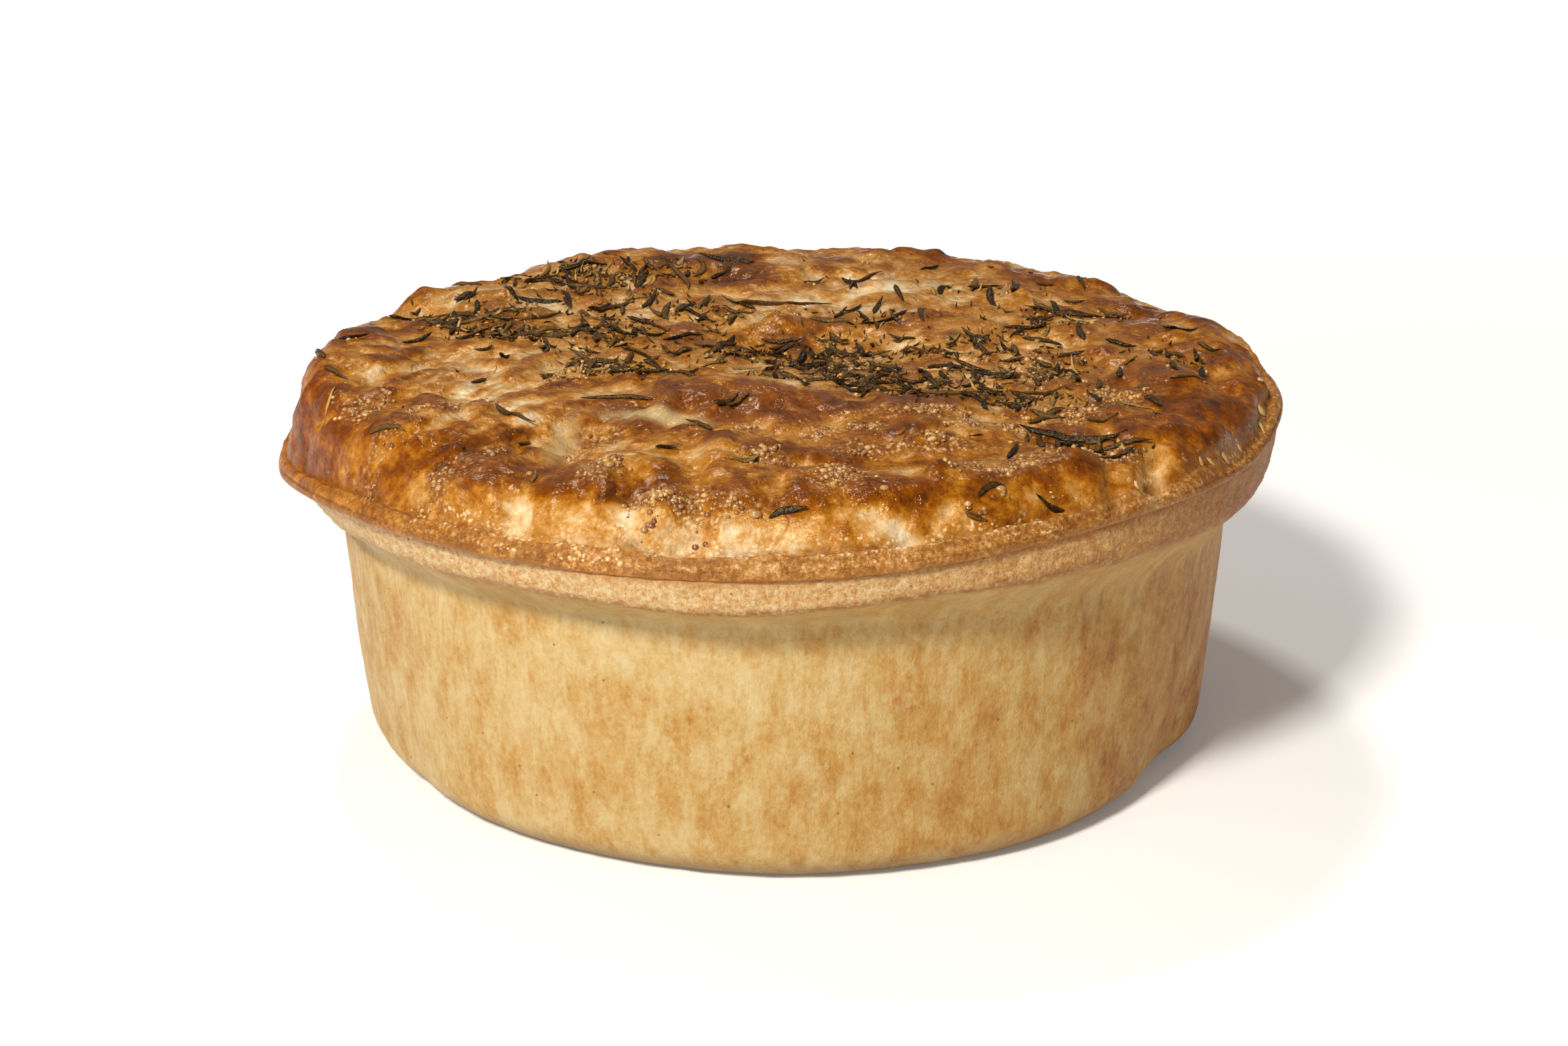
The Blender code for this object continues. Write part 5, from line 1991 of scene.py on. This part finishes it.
@dataclass
class GlazeBubbles:
    """Beads of set glaze in foamy patches, along the leaves and at the front of the lip."""

    ground: Ground
    leaves: Sequence[Leaf]
    form: LidForm = LidForm()
    clumps: int = 300
    clump_size: tuple[int, int] = (3, 14)
    clump_spread: float = 0.7 * MM
    leaf_share: float = 0.75
    leaf_beads: tuple[int, int] = (2, 7)
    shortest_leaf: float = 2.5 * MM
    sizes: tuple[float, float] = (0.1 * MM, 0.5 * MM)
    margin: float = 1.5 * MM
    drop_shape: tuple[float, float, float] = (1.2, 1.0, 0.6)
    drop_tone: float = 0.5
    seed: int = 37

    def ball(self) -> tuple[Array, list[list[int]]]:
        """Make a bead of radius 1.

        Returns:
            Its points and faces.
        """
        shape = bmesh.new()
        bmesh.ops.create_uvsphere(shape, u_segments=6, v_segments=5, radius=1.0)
        points = np.array([vertex.co for vertex in shape.verts])
        faces = sorted([vertex.index for vertex in face.verts] for face in shape.faces)
        shape.free()
        return points, faces

    def places(self, draw: random.Random) -> list[tuple[float, float]]:
        """Return where small beads lie in plan.

        Args:
            draw: their random source.

        Returns:
            The x and y of each in metres.
        """
        places = []
        weights = [patch.strength * patch.half_length * patch.half_width for patch in FOAM]
        for _ in range(self.clumps):
            patch = draw.choices(FOAM, weights)[0]
            ahead = draw.gauss(0.0, 0.55 * patch.half_length) * MM
            aside = draw.gauss(0.0, 0.55 * patch.half_width) * MM
            x, y = patch.spot(ahead, aside)
            for _ in range(draw.randint(*self.clump_size)):
                places.append((draw.gauss(x, self.clump_spread), draw.gauss(y, self.clump_spread)))
        for leaf in self.leaves:
            if leaf.length > self.shortest_leaf and draw.random() < self.leaf_share:
                side = draw.choice((-1.0, 1.0)) * draw.uniform(0.6, 1.0) * MM
                for _ in range(draw.randint(*self.leaf_beads)):
                    run = draw.uniform(-0.5, 0.5) * leaf.length
                    places.append(leaf.spot(run, side + draw.gauss(0.0, 0.25) * MM))
        return places

    def build(self) -> bpy.types.Object:
        """Build all beads.

        Returns:
            The piece that holds them.
        """
        draw = random.Random(self.seed)
        points, faces = self.ball()
        heap = Heap("glaze_bubbles")
        for x, y in self.places(draw):
            if math.hypot(x, y) > self.form.lip_radius - self.margin:
                continue
            point, _ = self.ground.under(x, y)
            size = self.sizes[0] + (self.sizes[1] - self.sizes[0]) * draw.random() ** 2
            stretch = np.array([draw.uniform(0.8, 1.3), draw.uniform(0.8, 1.3), draw.uniform(0.6, 0.9)])
            tone = np.full(len(points), draw.random() ** 1.5)
            heap.add(points * size * stretch + np.array(point), faces, tone)
        for drop in DROPS:
            point, _ = self.ground.under(drop.x * MM, drop.y * MM)
            shaped = points * drop.size * MM * np.array(self.drop_shape)
            heap.add(shaped + np.array(point), faces, np.full(len(points), self.drop_tone))
        return heap.build(BubbleFinish().material(), "glazed_lid")


@dataclass(frozen=True)
class FlakeFinish(Finish):
    """Dry golden pastry, torn thin."""

    light: float = 1.2
    dark: Shown = (176, 118, 50)
    fair: Shown = (238, 198, 128)
    roughness: float = 0.35
    gloss: float = 0.35

    def material(self) -> bpy.types.Material:
        """Return the flakes' material.

        Returns:
            The material, which reads the mask that Heap writes.
        """
        sheet = ShadeSheet("torn_crust")
        grain = sheet.noise(sheet.place(), 0.6 * MM, 4.0, 0.7)
        share = (sheet.mask("tone") + 1.6 * (grain - 0.5)).clipped()
        return sheet.finish(
            Base_Color=sheet.mix(share, self.tone(self.dark), self.tone(self.fair)),
            Roughness=self.roughness,
            Normal=sheet.bump(grain, 0.2 * MM),
            Specular_IOR_Level=self.gloss,
        )


# Each flake's place, half length, half width and heading.
TORN_FLAKES = as_patches(
    (61.6, -41.4, 1.3, 0.6, 10), (59.2, -44.6, 0.9, 0.7, 120), (57.6, -46.6, 0.6, 0.4, 60),
    (64.6, -36.4, 0.6, 0.4, 0), (69.6, -26.0, 2.0, 0.7, 100), (70.2, -22.4, 1.5, 0.7, 70),
    (71.2, -15.0, 0.9, 0.5, 60), (47.4, -56.4, 0.5, 0.4, 20), (-52.4, 49.6, 0.9, 0.5, 130),
    (30.6, 67.4, 0.9, 0.5, 160),
)


@dataclass
class CrustFlakes:
    """Thin torn flakes that stand up a little along the lid's edge, most of them on the right."""

    ground: Ground
    corners: int = 11
    thickness: float = 0.16 * MM
    lift: float = 0.12 * MM
    curl: float = 0.3 * MM
    curl_angle: float = 1.0
    steepest: float = 0.6
    seed: int = 51

    def rim(
        self, flake: Patch, middle: Vector, normal: Vector, draw: random.Random
    ) -> list[tuple[float, float, float]]:
        """Return a flake's ragged outline, curled up on one side.

        Args:
            flake: its place, half length, half width and heading.
            middle: the point of the surface under its middle.
            normal: the surface's normal there.
            draw: its random source.

        Returns:
            The outline's x, y and z in metres.
        """
        ragged = [draw.uniform(0.62, 1.0) for _ in range(self.corners)]
        rim = []
        for corner, reach in enumerate(ragged):
            angle = 2.0 * math.pi * corner / self.corners
            ahead = flake.half_length * MM * reach * math.cos(angle)
            aside = flake.half_width * MM * reach * math.sin(angle)
            x, y = flake.spot(ahead, aside)
            curl = draw.uniform(0.2, 1.0) * max(0.0, math.cos(angle - self.curl_angle))
            away = Vector((x, y, 0.0)) - Vector((middle.x, middle.y, 0.0))
            slope = -(normal.x * away.x + normal.y * away.y) / max(normal.z, self.steepest)
            rim.append((x, y, middle.z + slope + self.lift + self.curl * curl))
        return rim

    def lay(self, flake: Patch, draw: random.Random, heap: Heap) -> None:
        """Add one flake: a curled plate with a ragged outline.

        Args:
            flake: its place, half length, half width and heading.
            draw: its random source.
            heap: what it is added to.
        """
        middle, normal = self.ground.under(flake.x * MM, flake.y * MM)
        rim = self.rim(flake, middle, normal, draw)
        crown = np.mean(rim, axis=0) + np.array([0.0, 0.0, self.lift])
        top = np.vstack([rim, crown])
        points = np.vstack([top, top - np.array([0.0, 0.0, self.thickness])])
        count = self.corners
        faces = []
        for corner in range(count):
            following = (corner + 1) % count
            faces.append([corner, following, count])
            faces.append([count + 1 + following, count + 1 + corner, 2 * count + 1])
            faces.append([following, corner, count + 1 + corner, count + 1 + following])
        heap.add(points, faces, np.full(len(points), draw.uniform(0.3, 0.9)))

    def build(self) -> bpy.types.Object:
        """Build all flakes.

        Returns:
            The piece that holds them.
        """
        draw = random.Random(self.seed)
        heap = Heap("crust_flakes")
        for flake in TORN_FLAKES:
            self.lay(flake, draw, heap)
        return heap.build(FlakeFinish().material(), "glazed_lid")


@dataclass(frozen=True)
class SoftBox:
    """A square lamp: its bearing from the camera's side and its angle above the floor in radians."""

    name: str
    azimuth: float
    height: float
    power: float
    size: float
    distance: float = 1.1


@dataclass
class Studio:
    """A pale floor, soft light from the front left and above, and the photograph's camera."""

    picture_width: int = 2351
    focal_pixels: float = 3810.1
    sensor_width: float = 36.0
    camera_place: tuple[float, float, float] = (0.0, -0.380, 0.16465)
    camera_pitch: float = math.radians(19.529)
    floor_radius: float = 4.0
    floor_sides: int = 96
    floor_colour: Colour = (0.93, 0.93, 0.93)
    glow_start: float = 0.1
    glow_end: float = 0.8
    glow_near: Colour = (0.1, 0.1, 0.1)
    glow_far: Colour = (0.7, 0.7, 0.7)
    sky: float = 0.2
    sky_colour: Colour = (1.0, 0.95, 0.88)
    lamp_colour: Colour = (1.0, 0.965, 0.9)
    lamp_aim: float = 0.04
    lamps: tuple[SoftBox, ...] = (
        SoftBox("key_box", math.radians(-28.0), math.radians(42.0), power=13.5, size=0.17),
        SoftBox("top_box", math.radians(-150.0), math.radians(66.0), power=4.0, size=0.15),
    )

    def camera(self) -> None:
        """Place the camera where the photograph was taken."""
        lens = bpy.data.cameras.new("photo_camera")
        lens.sensor_width = self.sensor_width
        lens.lens = self.focal_pixels * lens.sensor_width / self.picture_width
        camera = bpy.data.objects.new("photo_camera", lens)
        camera.location = self.camera_place
        camera.rotation_euler = (0.5 * math.pi - self.camera_pitch, 0.0, 0.0)
        bpy.context.scene.collection.objects.link(camera)
        bpy.context.scene.camera = camera

    def lamp(self, box: SoftBox) -> None:
        """Hang a soft box that faces the pie.

        Args:
            box: its place, size and power.
        """
        light = bpy.data.lights.new(box.name, "AREA")
        light.size = box.size
        light.energy = box.power
        light.color = self.lamp_colour
        lamp = bpy.data.objects.new(box.name, light)
        level = math.cos(box.height)
        away = Vector((math.sin(box.azimuth) * level, -math.cos(box.azimuth) * level, math.sin(box.height)))
        lamp.location = Vector((0.0, 0.0, self.lamp_aim)) + away * box.distance
        lamp.rotation_mode = "QUATERNION"
        lamp.rotation_quaternion = away.to_track_quat("Z", "Y")
        bpy.context.scene.collection.objects.link(lamp)

    def floor(self) -> None:
        """Lay the floor, a pale disc that glows, faintly near the pie and more further out."""
        shape = bmesh.new()
        bmesh.ops.create_circle(shape, cap_ends=True, segments=self.floor_sides, radius=self.floor_radius)
        mesh = bpy.data.meshes.new("studio_floor")
        shape.to_mesh(mesh)
        shape.free()
        sheet = ShadeSheet("pale_floor")
        place = sheet.node("ShaderNodeTexCoord", {}, {}, "Object")
        distance = sheet.node("ShaderNodeVectorMath", {"operation": "LENGTH"}, {0: place}, 1)
        glow = sheet.mix(distance.between(self.glow_start, self.glow_end), self.glow_near, self.glow_far)
        material = sheet.finish(
            Base_Color=self.floor_colour,
            Roughness=0.9,
            Specular_IOR_Level=0.0,
            Emission_Color=glow,
            Emission_Strength=1.0,
        )
        mesh.materials.append(material)
        floor = linked("studio_floor", mesh)

    def build(self) -> None:
        """Set up the whole studio."""
        self.camera()
        self.floor()
        for box in self.lamps:
            self.lamp(box)
        world = bpy.data.worlds.new("studio")
        world.use_nodes = True
        world.node_tree.nodes["Background"].inputs["Color"].default_value = (*self.sky_colour, 1.0)
        world.node_tree.nodes["Background"].inputs["Strength"].default_value = self.sky
        bpy.context.scene.world = world
        bpy.context.scene.view_settings.view_transform = "Standard"


def report(piece: bpy.types.Object) -> None:
    """Log a finished piece and the number of its faces."""
    log.info("%s: %d faces", piece.name, len(piece.data.polygons))


def main() -> None:
    """Build the pie's pieces in order."""
    report(PastryCase().build())
    lid = PastryLid().build()
    report(lid)
    ground = Ground(lid)
    herbs = HerbScatter(ground)
    for piece in herbs.build():
        report(piece)
    report(GlazeBubbles(ground, herbs.lying).build())
    report(CrustFlakes(ground).build())
    Studio().build()


if __name__ == "__main__":
    main()
